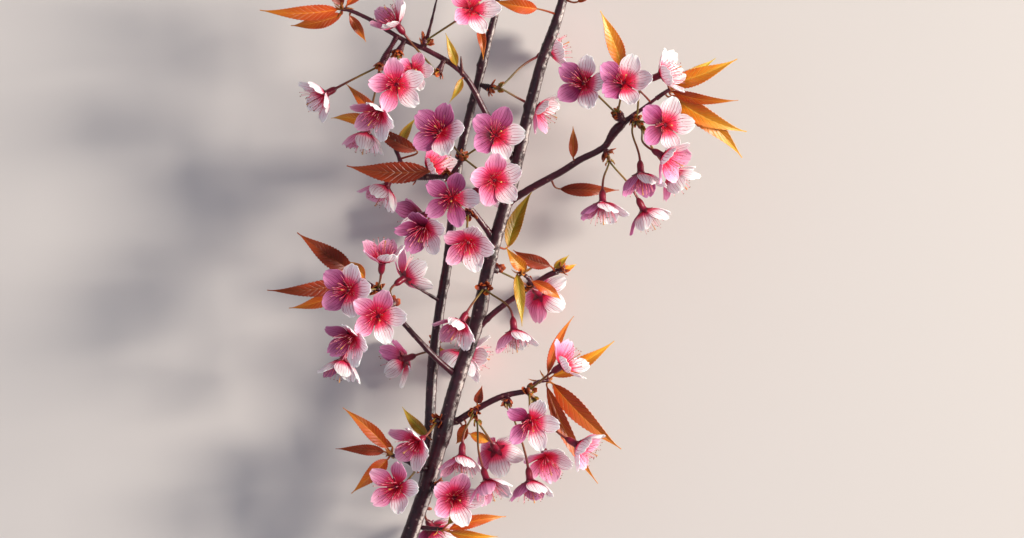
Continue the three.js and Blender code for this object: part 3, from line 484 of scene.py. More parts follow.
def barkTube(name, strip):
    # radius(s, angle) = taper + swellings + waves + a mound for each scar and each lenticel
    limb = limbs[name]
    path, flare = smoothPath(limb["path"]), 0
    if name != "main_limb":
        mainPath = smoothPath(limbs["main_limb"]["path"])
        path = np.vstack([nearestOn(mainPath, path[0] * 2 - path[3]), path])
        flare = bark["flare"]
    path, share, length = evenly(path, bark["stepMm"])
    radius = np.interp(share, *np.transpose(limb["taper"]))
    for at, extra in limb.get("swellings", ()):
        radius = radius + extra * np.exp(-((share - at) / bark["swellingWidth"]) ** 2)
    fadeFrom, fadeOver = bark["flareFadeMm"]
    radius = radius * (1 + flare * np.exp(-(np.maximum(share * length - fadeFrom, 0) / fadeOver) ** 2))
    sides = max(round(radius.max() * bark["sidesPerMm"]), 10)
    bearings = np.linspace(0, 2 * math.pi, sides, endpoint=False)
    along, angle = np.meshgrid(share * length, bearings, indexing="ij")
    relief = np.zeros_like(along)
    for _ in range(bark["lumps"]):
        around, pitch = random.integers(0, 4), random.uniform(0.15, 1.9)
        phase = random.uniform(0, fullTurn)
        relief += bark["lumpMm"] / (1 + pitch) * np.sin(along * pitch + angle * around + phase)
    marks = [(at + random.uniform(-4, 4), random.uniform(0, fullTurn), *bark["scarMm"])
             for at in np.arange(8, length - 6, bark["scarSpacingMm"])]
    marks += [(random.uniform(0, length), random.uniform(0, fullTurn), *bark["lenticelMm"])
              for _ in range(round(length * bark["lenticelsPerMm"]))]
    for at, turnTo, height, tall, wide in marks:
        away = (angle - turnTo + math.pi) % (2 * math.pi) - math.pi
        relief += height * np.exp(-((along - at) / tall) ** 2 - (away * radius[:, None] / wide) ** 2)
    slender = np.minimum(radius / 2.5, 1)[:, None]
    return tube(path, radius[:, None] + relief * slender, sides, strip)


# Spurs, the leaf masses' stems, and bare shoots and snags, each a path with the radius at its foot and tip
spurShape = {
    "stepMm": 0.22,
    "pastTipMm": 1.4,
    "at": (0, 0.3, 0.62, 0.86, 1),
    "radiiMm": (1.5, 1.15, 1.85, 1.7, 0.6),
    "scarRingMm": (0.13, 0.95),       # height and spacing
    "stout": {"upperRightKnee": 1.55, "upperRightBend": 1.2, "rightEnd": 1.15},   # have flowered for years
}
stemRadii = (1.25, 0.9)
shoots = [
    ([(425, 47, 12), (431, 25, 15), (437, 0, 14)], 1.0, 0.5),
    ([(462, 75, 9), (461, 57, 14)], 1.2, 0.3),
    ([(441, 302, -20), (426, 293, -15), (411, 284, -9)], 1.1, 0.4),
]


def spurTube(foot, tip, stout, strip):
    # a short rod that swells to a knob at its end, ringed by the scars of each year's bud scales
    path = np.array([foot, tip + unit(tip - foot) * spurShape["pastTipMm"]])
    path, share, length = evenly(path, spurShape["stepMm"])
    height, spacing = spurShape["scarRingMm"]
    radius = np.interp(share, spurShape["at"], spurShape["radiiMm"])
    radius = stout * (radius + height * np.sin(share * length * 2 * math.pi / spacing))
    return tube(path, radius, 12, strip)


def rod(places, step, thick, thin, rippleMm, ripples, strip):
    # radius(s) = thick to thin + ripple * sin(ripples * s) along the smooth path of the places
    path, share, _ = evenly(smoothPath(places), step)
    return tube(path, thick + (thin - thick) * share + rippleMm * np.sin(share * ripples), 10, strip)


def sliver(k, count, wide):
    # the UV strip number k of count narrow ones, side by side in the last of the wide ones
    low = (wide - 1 + k / count) / wide
    return low, low + 0.9 / count / wide


spurs = {}                    # foot, tip and limb of each
for limbName, limb in limbs.items():
    limbPath = smoothPath(limb["path"])
    for spurName, place in limb["spurs"].items():
        spurs[spurName] = nearestOn(limbPath, spot(place)), spot(place), limbName

# the last colour of each is the painted highlight on the side that faces the light
for pieceName, ending, slot, tints in (
    ("limbBark", "limb", "bark", ("cherryBarkGrown", "#190209", "#360919", "#7a5c5a", "#c9beb8")),
    ("twigBark", "twig", "twig_bark", ("cherryBarkYoung", "#28050f", "#4a1022", "#80584f", "#c4a58c")),
):
    names = [name for name in limbs if ending in name]
    holders = [name for name in spurs if spurs[name][2] in names]
    stems = [name for name in tufts if tufts[name]["limb"] in names]
    bare = shoots if pieceName == "twigBark" else []
    wide, small = len(names) + 1, len(holders) + len(stems) + len(bare)
    for k, name in enumerate(names):
        keep(pieceName, barkTube(name, (k / wide + 0.005, (k + 1) / wide - 0.005)))
    for k, (places, thick, thin) in enumerate(bare):
        keep(pieceName, rod(places, 0.5, thick, thin, 0.07, 25, sliver(small - 1 - k, small, wide)))
    for k, name in enumerate(holders + stems):
        if name in spurs:
            stout = spurShape["stout"].get(name, 1.0)
            keep(pieceName, spurTube(*spurs[name][:2], stout, sliver(k, small, wide)))
        else:
            keep(pieceName, rod(tufts[name]["stem"], 0.4, *stemRadii, 0.09, 40, sliver(k, small, wide)))
    # how squarely each point faces the light, which places the painted highlight
    storeSunFacing(addPiece(pieceName, barkMaterial(*tints), names))


# Cherry leaf just unfolded: thin, folded on its midrib, saw-toothed, with a leathery shine and sunk side veins.
# Its young red pigment gives the eye bronze and orange, and gold or yellow-green where it is older. Its twelve
# side veins stand 2 to 4 mm apart on most leaves.
def leafMaterial(name, inner, edge, tip, vein):
    material, add = newMaterial(name)
    uv = add("UVMap", {"uv_map": "surface"})
    parts = add("SeparateXYZ", {0: uv})
    wrapped = add("Math", {"operation": "FRACT", 0: parts})
    offMiddle = add("Math", {"operation": "SUBTRACT", 0: wrapped, 1: 0.5})
    across = add("Math", {"operation": "ABSOLUTE", 0: offMiddle})
    blotch = add("TexNoise", {"Scale": 4.0, "Detail": 4.0, "Roughness": 0.6, "Vector": uv})
    lag = add("Math", {"operation": "MULTIPLY_ADD", 0: across, 1: -0.3, 2: (parts, 1)})
    swayed = add("Math", {"operation": "MULTIPLY_ADD", 0: blotch, 1: 0.05, 2: lag})
    count = add("Math", {"operation": "MULTIPLY", 0: swayed, 1: 12.0})
    vaults = add("Math", {"operation": "PINGPONG", 0: count, 1: 0.5})
    sideVeins = add("ValToRGB", {"stops": [(0.0, 1.0), (0.12, 0.0)], "Fac": vaults})
    midrib = add("ValToRGB", {"stops": [(0.015, 1.0), (0.05, 0.0)], "Fac": across})
    outer = add("Math", {"operation": "MULTIPLY_ADD", 0: across, 1: 1.2, 2: blotch})
    tone = add("ValToRGB", {"stops": [(0.42, inner), (1.02, edge)], "Fac": outer})
    far = add("Math", {"operation": "POWER", 0: (parts, 1), 1: 3.0})
    body = add("Mix", {"data_type": "RGBA", 0: far, 6: tone, 7: colour(tip)})
    fade = add("Math", {"operation": "MULTIPLY", 0: sideVeins, 1: 0.42})
    half = add("Math", {"operation": "MULTIPLY", 0: midrib, 1: 0.7})
    veins = add("Math", {"operation": "MAXIMUM", 0: fade, 1: half})
    base = add("Mix", {"data_type": "RGBA", 0: veins, 6: (body, 2), 7: colour(vein)})
    bump = add("Bump", {"Strength": 0.6, "Distance": 0.0005, "invert": True, "Height": sideVeins})
    add("OutputMaterial", {"Surface": add("BsdfPrincipled", {
        "Roughness": 0.38, "IOR": 1.45, "Subsurface Weight": 0.1, "Subsurface Scale": 0.001,
        "Base Color": (base, 2), "Normal": bump})})
    return material


leafTints = {
    "leavesBronze": ("cherryLeafBronze", "#64230c", "#87290e", "#b5501a", "#944820"),
    "leavesOrange": ("cherryLeafOrange", "#b9520f", "#b23e10", "#dd8f1f", "#d98a30"),
    "leavesGolden": ("cherryLeafGolden", "#dd9216", "#cc6414", "#eeb430", "#e9b64c"),
    "leavesGreen": ("cherryLeafGreen", "#96891c", "#b07a1e", "#cdae30", "#c4b44a"),
}
tintOf = {"B": "leavesBronze", "O": "leavesOrange", "G": "leavesGreen", "Y": "leavesGolden"}
# which tint each leaf has, in the order of its mass or limb
leafPlan = {
    "leaves_top": "OBGO", "leaves_back_top": "BOGO", "leaves_upper_left": "OOBO", "leaves_left": "OY",
    "leaves_upper_right": "YOYY", "leaves_right": "YGO", "leaves_mid_left": "BBO", "leaves_lower_right": "YOO",
    "leaves_lower_left": "OBO", "leaves_low": "YGO", "main_limb": "GO", "twig_upper_right": "YB",
    "twig_upper_left": "G", "twig_right": "G", "twig_lower_right": "B",
}
leafShape = {
    "outline": (0.8, 1.55),
    "grid": (43, 9),
    "widen": 1.15,
    "thickMm": 0.26,
    "fold": 0.5,
    "curlMm": (-2.5, 0.3),
    "sway": 0.07,             # of its length
    "toothShare": 0.09,
    "waveMm": (0.15, 0.5),
    "twistDegrees": 35,
    "petioleMm": (0.62, 0.42),
}


def growLeaf(stem, leaf, tint):
    # a blade from base to tip, and its petiole a cubic curve to it from the nearest point of the stem
    base, tip, half, arch = leaf
    base, tip = spot(base), spot(tip)
    foot = nearestOn(stem, base)
    sway, twist = leafShape["sway"], leafShape["twistDegrees"]
    keep(tint, blade(
        base, tip, upward, half * leafShape["widen"], leafShape["outline"], *leafShape["grid"], arch=arch,
        sweep=random.uniform(-sway, sway) * np.linalg.norm(tip - base), fold=leafShape["fold"],
        curl=random.uniform(*leafShape["curlMm"]), tooth=leafShape["toothShare"],
        wave=random.uniform(*leafShape["waveMm"]), thickness=leafShape["thickMm"],
        twist=random.uniform(-twist, twist)))
    inward, onward = unit(base - foot), unit(tip - base)
    pull = np.linalg.norm(base - foot) * 0.4
    path = bent(foot, base + onward * 0.8, foot + inward * pull, base - onward * pull, 9)
    keep("petioles", tube(path, np.linspace(*leafShape["petioleMm"], 9), 6))


# Stipules: thread-fine fringed blades at the foot of each mass of leaves
stipuleShape = {"perMass": 6, "lengthMm": (4.0, 8.5), "halfMm": (0.25, 0.5), "fringe": 1.6, "thickMm": 0.16}
for tuft in tufts.values():
    stem = smoothPath(tuft["stem"])
    onward = unit(stem[-1] - stem[-6])
    for _ in range(stipuleShape["perMass"]):
        way = unit(onward * random.uniform(-0.1, 0.9) + 0.8 * unit(random.normal(size=3)))
        base = stem[-1 - random.integers(0, len(stem) // 4)]
        tip = base + way * random.uniform(*stipuleShape["lengthMm"])
        up = unit(np.cross(way, random.normal(size=3)))
        keep("stipules", blade(base, tip, up, random.uniform(*stipuleShape["halfMm"]), (0.3, 0.9), 21, 3,
                               arch=0.8, curl=random.uniform(-1.5, 1.5), tooth=stipuleShape["fringe"],
                               thickness=stipuleShape["thickMm"]))

for name, plan in leafPlan.items():
    holder = tufts.get(name) or limbs[name]
    stem = smoothPath(holder["stem"] if name in tufts else holder["path"])
    for leaf, letter in zip(holder["leaves"], plan):
        growLeaf(stem, leaf, tintOf[letter])
# single young leaves between the masses
youngLeaves = [
    ((350, 16, 11), (366, 42, 4), 2.0, 1, "O"), ((457, 66, 11), (446, 34, 15), 1.9, 1, "G"),
    ((558, 272, 4), (577, 264, 2), 1.5, 1, "Y"), ((573, 158, 10), (573, 126, 8), 1.9, 1, "O"),
    ((578, 2, 4), (601, -9, 10), 1.6, 1, "O"), ((428, 437, -3), (402, 407, -8), 2.2, 1, "G"),
    ((479, 27, -14), (483, 58, -11), 1.8, 1, "O"), ((670, 87, 13), (716, 58, 2), 2.4, 1, "G"),
    ((398, 151, 13), (416, 118, 2), 2.0, 1, "G"), ((365, 278, 6), (348, 261, 2), 2.3, 1, "Y"),
    ((392, 447, -10), (361, 425, -19), 2.2, 1, "O"), ((548, 373, 3), (574, 316, 0), 2.0, 1, "O"),
    ((429, 171, 17), (347, 166, 14), 4.5, 5, "B"), ((417, 151, 17), (367, 120, 23), 3.1, 2, "B"),
    ((466, 424, 2), (456, 444, -4), 2.3, 1, "O"), ((470, 434, -2), (493, 441, -8), 2.3, 1, "Y"),
    ((550, 266, 12), (513, 250, 10), 2.9, 4, "B"),
]
wood = np.vstack([smoothPath(tuft["stem"]) for tuft in tufts.values()]
                 + [smoothPath(limb["path"]) for limb in limbs.values()])
for *leaf, letter in youngLeaves:
    growLeaf(wood, leaf, tintOf[letter])
for pieceName, tint in leafTints.items():
    addPiece(pieceName, leafMaterial(*tint), tufts)


# Flowers: every one has petals, a tuft of stamens, a pistil, a calyx with sepals, and a stalk
petalShape = {
    "lengthMm": 14.2,
    "halfMm": 5.6,
    "seatMm": 1.1,            # from the flower's axis to its claw
    "thickMm": 0.2,
    "grid": (13, 13),
    "widestAt": 0.6,
    "slim": (0.82, 1.02),
    "tip": 0.19,              # how far its end is rounded off at the sides
    "notch": 0.06,
    "rim": 0.035,             # how far its sides turn up
    "spoonMm": 1.3,
    "creaseMm": 0.3,
    "rollDegrees": 6.0,
    "nodMm": (-1.4, 0.5),     # how its end bends down or up
}


def facingTurn(facing):
    # the least turn that takes Z to the facing: I + K + K^2 / (1 + cos), K the cross matrix of Z x facing
    x, y, z = np.cross((0, 0, 1), facing)
    cross = np.array([[0, -z, y], [z, 0, -x], [-y, x, 0]])
    return np.eye(3) + cross + cross @ cross / (1 + facing[2])


def outwardAt(angle):
    # the flat unit vector at that angle about Z
    return np.array([math.cos(angle), math.sin(angle), 0])


def petalGrid(angle, rise, size, slim):
    # seat + along * length * s * (1 - tip t^2 s - notch) + side * width(s) * t + up * (rim * across^2
    # - spoon * sin(pi s) - crease + ripples + roll), where width is a sine to its widest and a parabola beyond
    s, t = np.meshgrid(*(np.linspace(start, 1, count) for start, count in zip((0, -1), petalShape["grid"])),
                       indexing="ij")
    rise = math.radians(rise + random.uniform(-5, 5))
    outward = outwardAt(angle + math.radians(random.uniform(-4, 4)))
    side = np.cross(outward, upward)
    along = outward * math.cos(rise) + upward * math.sin(rise)
    up = np.cross(side, along)
    length = petalShape["lengthMm"] * size * random.uniform(0.95, 1.03)
    half = petalShape["halfMm"] * size * slim * random.uniform(0.95, 1.05)
    widest = petalShape["widestAt"]
    width = 0.13 + 0.87 * np.sin(math.pi / 2 * np.minimum(s / widest, 1)) ** 1.2
    width = width - 0.3 * (np.maximum(s - widest, 0) / (1 - widest)) ** 2
    notch = petalShape["notch"] * random.uniform(0.2, 1.6) * np.exp(-(t / 0.17) ** 2)
    teeth = 0.013 * np.sin(t * 13 + random.uniform(0, 6))
    far = length * s * (1 - petalShape["tip"] * t ** 2 * s - (notch + teeth) * s ** 7)
    across = half * width * t
    phase = random.uniform(0, fullTurn, 2)
    lift = (petalShape["rim"] * across ** 2 - petalShape["spoonMm"] * np.sin(math.pi * s)
            - petalShape["creaseMm"] * np.exp(-(t / 0.22) ** 2) * np.sin(math.pi * s)
            + 0.35 * s ** 2 * np.abs(t) * np.sin(t * 5 + phase[0]) + 0.3 * s ** 3 * np.sin(t * 8 + phase[1])
            + random.uniform(*petalShape["nodMm"]) * s ** 4
            + np.tan(math.radians(petalShape["rollDegrees"])) * across) * size
    return (outward * petalShape["seatMm"] + along * far[..., None] + side * across[..., None]
            + up * lift[..., None])


stamenShape = {
    "count": 30,
    "lengthMm": (6.5, 12.8),
    "radiusMm": 0.13,
    "bowMm": 0.7,
    "apart": 2.4,             # radians from one to the next, the golden angle
    "leanDegrees": (4, 34),   # at the middle, and as much more at the outside
    "seatMm": (0.4, 1.2),
    "antherMm": 0.34,
}


def stamenTuft(size):
    # filaments: base + direction * length * s, bowed outward by sin(pi s), as three-sided rods; anthers: an
    # eight-faced grain on each tip
    count = stamenShape["count"]
    azimuth = np.arange(count) * stamenShape["apart"] + random.uniform(0, 6)
    least, more = stamenShape["leanDegrees"]
    lean = np.radians(least + more * np.sqrt(random.uniform(0, 1, count)))
    outward = np.stack([np.cos(azimuth), np.sin(azimuth), 0 * azimuth], axis=-1)
    onward = outward * np.sin(lean)[:, None] + upward * np.cos(lean)[:, None]
    side = np.cross(outward, upward)
    other = np.cross(onward, side)
    length = random.uniform(*stamenShape["lengthMm"], count) * size
    share = np.linspace(0, 1, 5)
    middle = (outward * random.uniform(*stamenShape["seatMm"], (count, 1)) - upward * 0.4)[:, None] + (
        onward[:, None] * (length[:, None] * share)[..., None]
        + outward[:, None] * (stamenShape["bowMm"] * np.sin(math.pi * share) * np.ones((count, 1)))[..., None])
    corner = np.radians([0, 120, 240])[:, None]
    thick = stamenShape["radiusMm"] * (1.15 - 0.3 * share)[None, :, None, None]
    rings = middle[:, :, None] + thick * (side[:, None, None] * np.cos(corner)
                                          + other[:, None, None] * np.sin(corner))
    index = np.arange(count * 15).reshape(count, 5, 3)
    after = np.roll(index, -1, axis=2)
    quads = np.stack([index[:, :-1], after[:, :-1], after[:, 1:], index[:, 1:]], axis=-1).reshape(-1, 4)
    low = np.broadcast_to(share[:-1, None] * 0.9 + 0.05, (count, 4, 3))
    left = np.broadcast_to(np.array([0.1, 0.4, 0.7]), (count, 4, 3))
    corners = (0, 0), (0.25, 0), (0.25, 0.22), (0, 0.22)
    quadUv = np.stack([np.stack([left + x, low + y], -1) for x, y in corners], axis=3).reshape(-1, 4, 2)
    caps = np.concatenate([index[:, 0, ::-1], index[:, -1]])
    capUv = np.broadcast_to(np.array([[0.1, 0.02], [0.3, 0.02], [0.2, 0.04]]), (2 * count, 3, 2))
    grain = stamenShape["antherMm"] * random.uniform(0.85, 1.15, (count, 1))
    tip = middle[:, -1]
    star = np.stack([tip + way * grain * reach for way, reach in (
        (side, 1.3), (other, 0.7), (side, -1.3), (other, -0.7), (onward, 0.8), (onward, -0.8))], axis=1)
    pattern = np.array([[0, 1, 4], [1, 2, 4], [2, 3, 4], [3, 0, 4], [1, 0, 5], [2, 1, 5], [3, 2, 5], [0, 3, 5]])
    triangles = (pattern[None] + 6 * np.arange(count)[:, None, None]).reshape(-1, 3)
    triangleUv = np.broadcast_to(np.array([[0.1, 0.1], [0.9, 0.1], [0.5, 0.9]]), (len(triangles), 3, 2))
    anthers = star.reshape(-1, 3), np.zeros((0, 4), int), triangles, np.zeros((0, 4, 2)), triangleUv
    return (rings.reshape(-1, 3), quads, caps, quadUv, capUv), anthers


def flowerCentre(plan, root):
    # above or below the root by what is left of the reach once its way across is taken off
    centre = spot(plan["at"] + (0,))
    flat = np.hypot(*(centre - root)[:2])
    away = math.sqrt(max(plan["reach"] ** 2 - flat ** 2, 0))
    centre[2] = root[2] + math.copysign(away, plan["reach"])
    return centre


pistilShape = {"lengthMm": 11.5, "radiiMm": (0.3, 0.22, 0.2, 0.2, 0.2, 0.2, 0.22, 0.42)}
calyxShape = {
    "lengthMm": 7.0,
    "radiiMm": (0.62, 1.35, 1.7, 1.78, 1.72, 1.78, 2.2),
    "sepalMm": 3.6,
    "sepalHalfMm": 1.35,
    "sepalDroop": 14,         # degrees lower than the petals
}
stalkShape = {
    "radiusMm": 0.5,
    "sinkMm": 0.8,            # into the calyx
    "pull": 0.4,              # how stiffly it leaves both its ends
    "forkMm": 4.5,
    "forkRadiiMm": (0.85, 0.85, 0.9, 1.0, 1.1, 0.6),
}
bractShape = {"lengthMm": (2.6, 4.4), "halfMm": (0.9, 1.4)}
# the way the painted sunlight falls on the petals
sunward = unit(np.array(view["sunward"]))


def growFlower(plan, root, paintedSunBias, paintedShadeChance):
    # its parts stand about Z, are turned to the way it faces and moved to its centre; the stalk is a cubic
    # curve from the root to the calyx
    size, spin = plan.get("size", 1), math.radians(plan.get("spin", 0))
    facing = unit(np.array(plan["faces"], float))
    centre = flowerCentre(plan, root) + upward * plan.get("slide", 0)
    turnBy = facingTurn(facing)

    def place(piece, part):
        keep(piece, (part[0] @ turnBy.T + centre,) + tuple(part[1:]))

    # painted light: petals that face the sun get the pale sunlit copy; the others get pink, or the mauve copy
    # of painted shade in a flower dealt shade
    dark = "petalsPaintedShade" if random.uniform(0, 1) < paintedShadeChance else "petalsPink"
    paintedSunlitFrom = (0.2 if facing[2] > 0.6 else -0.1) - paintedSunBias
    slim = random.uniform(*petalShape["slim"])
    for petal in range(5):
        angle = petal * 2 * math.pi / 5 + spin
        sheet = closedSheet(petalGrid(angle, plan["open"], size, slim), petalShape["thickMm"])
        lit = (turnBy @ outwardAt(angle)) @ sunward + random.uniform(-0.3, 0.3)
        place("petalsPaintedSunlit" if lit > paintedSunlitFrom else dark, sheet)
        outward = outwardAt(angle + math.pi / 5)
        rise = math.radians(plan["open"] - calyxShape["sepalDroop"])
        base = outward * 1.5 - upward * 0.7
        onward = outward * math.cos(rise) + upward * math.sin(rise)
        up = outward * -math.sin(rise) + upward * math.cos(rise)
        place("calyces", blade(base, base + onward * calyxShape["sepalMm"], up, calyxShape["sepalHalfMm"],
                               (0.18, 0.7), 7, 5, arch=0.3, fold=0.1))
    for piece, part in zip(("filaments", "anthers"), stamenTuft(size)):
        place(piece, part)
    pistilPath = np.linspace((0, 0, -0.5), (0.5, 0.2, pistilShape["lengthMm"] * size), 8)
    place("pistils", tube(pistilPath, pistilShape["radiiMm"], 6))
    calyxPath = np.linspace((0, 0, -calyxShape["lengthMm"]), (0, 0, -0.1), 7)
    place("calyces", tube(calyxPath, calyxShape["radiiMm"], 12))
    foot = centre + facing * (stalkShape["sinkMm"] - calyxShape["lengthMm"])
    leaving = unit(foot - root)
    aside = unit(np.cross(leaving, facing))
    bowAside, bowOver = plan.get("bow", (0, 0))
    leaving = unit(leaving + aside * bowAside + np.cross(leaving, aside) * bowOver)
    pull = np.linalg.norm(foot - root) * stalkShape["pull"]
    path = bent(root, foot, root + leaving * pull, foot - facing * pull, 16)
    thick = stalkShape["radiusMm"] * np.linspace(1, 1.2, 16) + 0.12 * np.linspace(0, 1, 16) ** 8
    keep("stalks", tube(path, thick, 8))


bloomNodes = []
for cluster, rows in blooms.items():
    for number, (spur, tint, *flowers) in enumerate(rows, 1):
        bloomNodes.append(f"bloom_{cluster}_{number}")
        plans = [dict(zip(("at", "faces", "reach", "open"), row), **dict(*row[4:])) for row in flowers]
        root = tip = spurs[spur][1]
        if len(plans) > 1:
            toward = unit(sum(unit(flowerCentre(plan, tip) - tip) for plan in plans))
            root = tip + toward * stalkShape["forkMm"]
            keep("stalks", tube(np.linspace(tip - toward * 0.5, root + toward * 0.7, 6),
                                stalkShape["forkRadiiMm"], 8))
        for plan in plans:
            growFlower(plan, root, *tint)
            onward = unit(flowerCentre(plan, root) - root)
            up = unit(np.cross(onward, random.normal(size=3)))
            end = root + onward * random.uniform(*bractShape["lengthMm"]) + up * 1.3
            keep("bracts", blade(root - onward * 0.5, end, up, random.uniform(*bractShape["halfMm"]),
                                 (0.4, 0.7), 9, 5, arch=0.4, fold=0.5, tooth=0.3, thickness=0.22))

# Bud scales: a ruff of thin, dry, red-brown scales round each spur's end, bent outward
scaleShape = {"perSpur": 12, "lengthMm": (2.2, 4.6), "halfMm": (0.65, 1.2), "spreadDegrees": (8, 68)}
for foot, tip, _ in spurs.values():
    onward = unit(tip - foot)
    aside = unit(np.cross(onward, (0.3, 0.5, 0.8)))
    other = np.cross(onward, aside)
    for k in range(scaleShape["perSpur"]):
        azimuth = random.uniform(0, fullTurn)
        spread = math.radians(random.uniform(*scaleShape["spreadDegrees"]))
        outward = aside * math.cos(azimuth) + other * math.sin(azimuth)
        way = onward * math.cos(spread) + outward * math.sin(spread)
        base = tip - onward * random.uniform(0.2, 1.6) + outward * 1.1
        up = onward * math.sin(spread) - outward * math.cos(spread)
        keep("budScales", blade(base, base + way * random.uniform(*scaleShape["lengthMm"]), up,
                                random.uniform(*scaleShape["halfMm"]), (0.3, 0.45), 9, 5, arch=-0.5, fold=0.35,
                                curl=random.uniform(-1.2, 0.6), tooth=0.25, thickness=0.22))

# The sawn end: rings of a flat disc, centre + radius * (side * cos angle + other * sin angle), slightly domed
sawnShape = {"outMm": (-0.6, 0.02, 0.06, 0.08), "radiiMm": (3.95, 3.95, 2.2, 0.6)}
limbPath, _, _ = evenly(smoothPath(limbs["main_limb"]["path"]), 1.0)
disc = limbPath[0] + unit(limbPath[0] - limbPath[1]) * np.array(sawnShape["outMm"])[:, None]
keep("sawnEnd", tube(disc, sawnShape["radiiMm"], 28))


# Cherry petal: a translucent skin a fifth of a millimetre thick that scatters light like wax paper. It gives
# the eye crimson at its claw, paler to the rim, with darker veins that fan out, 1.6 mm apart at its widest
# and 0.8 mm toward the rim.
def petalMaterial(name, claw, throat, body, rim, vein):
    material, add = newMaterial(name)
    uv = add("UVMap", {"uv_map": "surface"})
    parts = add("SeparateXYZ", {0: uv})
    ground = add("ValToRGB", {
        "stops": [(0.0, claw), (0.14, claw), (0.3, throat), (0.5, body), (0.98, rim)], "Fac": (parts, 1)})
    wander = add("Mapping", {"Scale": (2.6, 4.0, 1.0), "Vector": uv})
    drift = add("TexNoise", {"Scale": 1.0, "Detail": 1.0, "Vector": wander})
    streak = add("Mapping", {"Scale": (13.0, 1.5, 1.0), "Vector": uv})
    strength = add("TexNoise", {"Scale": 1.0, "Detail": 2.0, "Vector": streak})
    dense = add("ValToRGB", {"stops": [(0.34, 0.3), (0.58, 1.0)], "Fac": strength})
    shifted = add("Math", {"operation": "MULTIPLY_ADD", 0: drift, 1: 0.12, 2: parts})
    veins = []
    for count, thick, reach in ((7.0, 0.24, [(0.0, 1.0), (0.55, 1.0), (0.96, 0.25)]),
                                (14.0, 0.2, [(0.3, 0.0), (0.48, 0.8), (0.97, 0.12)])):
        spread = add("Math", {"operation": "MULTIPLY", 0: shifted, 1: count})
        vaults = add("Math", {"operation": "PINGPONG", 0: spread, 1: 0.5})
        thin = add("ValToRGB", {"stops": [(0.0, 1.0), (thick, 0.0)], "Fac": vaults})
        fade = add("ValToRGB", {"stops": reach, "Fac": (parts, 1)})
        veins.append(add("Math", {"operation": "MULTIPLY", 0: thin, 1: fade}))
    lines = add("Math", {"operation": "MAXIMUM", 0: veins[0], 1: veins[1]})
    inked = add("Math", {"operation": "MULTIPLY", 0: lines, 1: dense})
    base = add("Mix", {"data_type": "RGBA", 0: inked, 6: ground, 7: colour(vein)})
    bump = add("Bump", {"Strength": 0.35, "Distance": 0.0002, "invert": True, "Height": lines})
    add("OutputMaterial", {"Surface": add("BsdfPrincipled", {
        "Roughness": 0.55, "IOR": 1.33, "Subsurface Weight": 0.5, "Subsurface Radius": (1.0, 0.7, 0.8),
        "Subsurface Scale": 0.0012, "Base Color": (base, 2), "Normal": bump})})
    return material


# Copies of one petal under painted light: pale with a bright throat for painted sunlight, mauve with a dark
# throat for painted shade, pink between
petalTints = {
    "petalsPink": ("cherryPetalPink", "#b80a22", "#cf2450", "#dc7ba4", "#edb4cc", "#a01244"),
    "petalsPaintedSunlit": ("cherryPetalPaintedSunlit", "#d40c22", "#ea4870", "#fbe4ec", "#ffffff", "#b0124a"),
    "petalsPaintedShade": ("cherryPetalPaintedShade", "#4a0212", "#8c1444", "#aa4f82", "#c482aa", "#6a0a3a"),
}
for pieceName, tint in petalTints.items():
    addPiece(pieceName, petalMaterial(*tint), bloomNodes)


# A plant skin whose colour runs from one end of the piece to the other along its own UV, slightly blotched
def skinMaterial(name, foot, middle, end, roughness, speckle):
    material, add = newMaterial(name)
    uv = add("UVMap", {"uv_map": "surface"})
    parts = add("SeparateXYZ", {0: uv})
    blotch = add("TexNoise", {"Scale": speckle, "Detail": 3.0, "Vector": uv})
    blend = add("Math", {"operation": "MULTIPLY_ADD", 0: blotch, 1: 0.4, 2: -0.2})
    way = add("Math", {"operation": "ADD", 0: (parts, 1), 1: blend})
    ground = add("ValToRGB", {"stops": [(0.0, foot), (0.5, middle), (1.0, end)], "Fac": way})
    bump = add("Bump", {"Strength": 0.25, "Distance": 0.0002, "Height": blotch})
    add("OutputMaterial", {"Surface": add("BsdfPrincipled", {
        "Roughness": roughness, "IOR": 1.45, "Base Color": ground, "Normal": bump})})
    return material


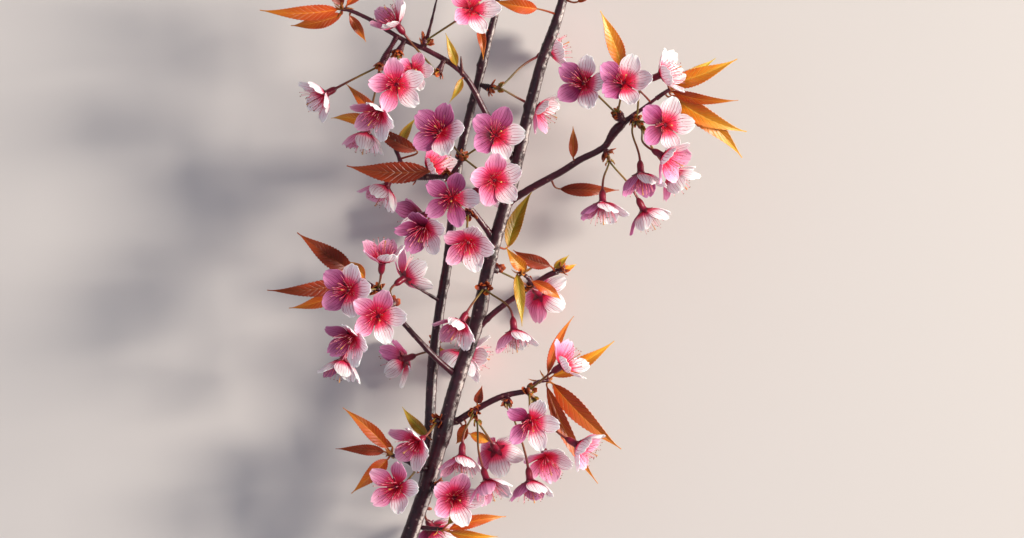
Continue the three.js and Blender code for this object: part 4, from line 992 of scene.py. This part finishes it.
# Slot, the nodes stood for, then the skin: its name, colours from foot to end, roughness, blotches per length
smallPieces = {
    # grown smooth and moist: crimson threads that pale toward the tip
    "filaments": ("petal", bloomNodes, "cherryFilament", "#c40c24", "#e02c50", "#f4acc0", 0.45, 4.0),
    # dusted with pollen: dull brown to gold
    "anthers": ("petal", bloomNodes, "cherryAnther", "#4a1a14", "#a8582a", "#e6b862", 0.6, 6.0),
    # grown smooth: a crimson thread under a gold stigma
    "pistils": ("petal", bloomNodes, "cherryPistil", "#6e0c2c", "#a8244c", "#d9a45c", 0.4, 4.0),
    # fleshy and waxed: a dark crimson shine
    "calyces": ("petal", bloomNodes, "cherryCalyx", "#5a0a1c", "#860e2c", "#6c0c2c", 0.34, 5.0),
    # grown smooth and firm: green at the foot, reddened by the sun
    "stalks": ("petal", bloomNodes, "cherryStalk", "#5f5a26", "#7a5a2a", "#7d2430", 0.38, 5.0),
    # dried by the winter: matt red-brown, paler where they tear
    "budScales": ("twig_bark", (), "cherryBudScale", "#3f0f10", "#7e2616", "#c4601f", 0.55, 6.0),
    # soft and green-grown, reddened by the sun
    "bracts": ("leaf", (), "cherryBract", "#5c5a1c", "#8f7424", "#bf5c28", 0.45, 5.0),
    # thin and half dry: a dull straw-brown fringe
    "stipules": ("leaf", tufts, "cherryStipule", "#6d5a1e", "#a8641f", "#c9782a", 0.5, 5.0),
    # grown smooth: red-brown and a little glossy
    "petioles": ("leaf", (), "cherryPetiole", "#7a2a1e", "#94401f", "#a8642a", 0.4, 4.0),
    # sawn: pale sapwood, darker at bark and pith
    "sawnEnd": ("bark", (), "cherrySapwood", "#7a4a2e", "#d9b98a", "#c99c6a", 0.6, 14.0),
}
for pieceName, (slot, nodes, *skin) in smallPieces.items():
    addPiece(pieceName, skinMaterial(*skin), nodes)

# Floor, lights and camera. The floor is matt painted board: an even pale grey without shine.
floorMaterial, add = newMaterial("paleFloor")
add("OutputMaterial", {"Surface": add("BsdfPrincipled", {"Base Color": colour("#d6d2cd"), "Roughness": 0.85})})
floorMesh = bpy.data.meshes.new("floor")
floorMesh.from_pydata([(-4, -4, 0), (4, -4, 0), (4, 4, 0), (-4, 4, 0)], [], [(0, 1, 2, 3)])
floorMesh.materials.append(floorMaterial)
floor = bpy.data.objects.new("floor", floorMesh)
bpy.context.scene.collection.objects.link(floor)

lights = {
    "sunSide": {"at": (2.7, 0.2, 1.85), "size": 0.75, "power": 142, "tint": "#fff4e8"},
    "edgeStrip": {"at": (2.6, 0.5, 0.16), "size": 0.3, "power": 60, "tint": "#fffaf2"},
    "skyWide": {"at": (-0.5, 0.4, 1.8), "size": 2.2, "power": 5, "tint": "#e8ecff"},
    "lowFill": {"at": (-1.4, -0.8, 0.6), "size": 1.2, "power": 3, "tint": "#f3e8ff"},
}
for name, light in lights.items():
    lamp = bpy.data.lights.new(name, "AREA")
    lamp.energy, lamp.size, lamp.color = light["power"], light["size"], colour(light["tint"])[:3]
    holder = bpy.data.objects.new(name, lamp)
    back = unit(np.array(light["at"]) - np.array([0, 0, 0.05]))      # it looks at the blossom
    right = unit(np.cross((0, 0, 1), back))
    facing = np.stack([right, np.cross(back, right), back], axis=1)
    holder.matrix_world = Matrix.Translation(light["at"]) @ Matrix(facing.tolist()).to_4x4()
    bpy.context.scene.collection.objects.link(holder)

world = bpy.data.worlds.new("studio")
world.use_nodes = True
background = world.node_tree.nodes["Background"]
background.inputs["Color"].default_value = colour("#dfe2f2")
background.inputs["Strength"].default_value = 0.3
bpy.context.scene.world = world
bpy.context.scene.view_settings.view_transform = "Standard"

camera = bpy.data.cameras.new("camera")
camera.sensor_width = 36
camera.lens = camera.sensor_width * view["cameraMm"] / (view["framePx"][0] * view["pixelMm"])
camera.clip_end = 50
eye = bpy.data.objects.new("camera", camera)
eyePlace = (lie[:, 2] * view["cameraMm"] + shift) / 1000
eye.matrix_world = Matrix.Translation(eyePlace) @ Matrix(lie.tolist()).to_4x4()
bpy.context.scene.collection.objects.link(eye)
bpy.context.scene.camera = eye
print("floor,", len(lights), "lights and camera in place")
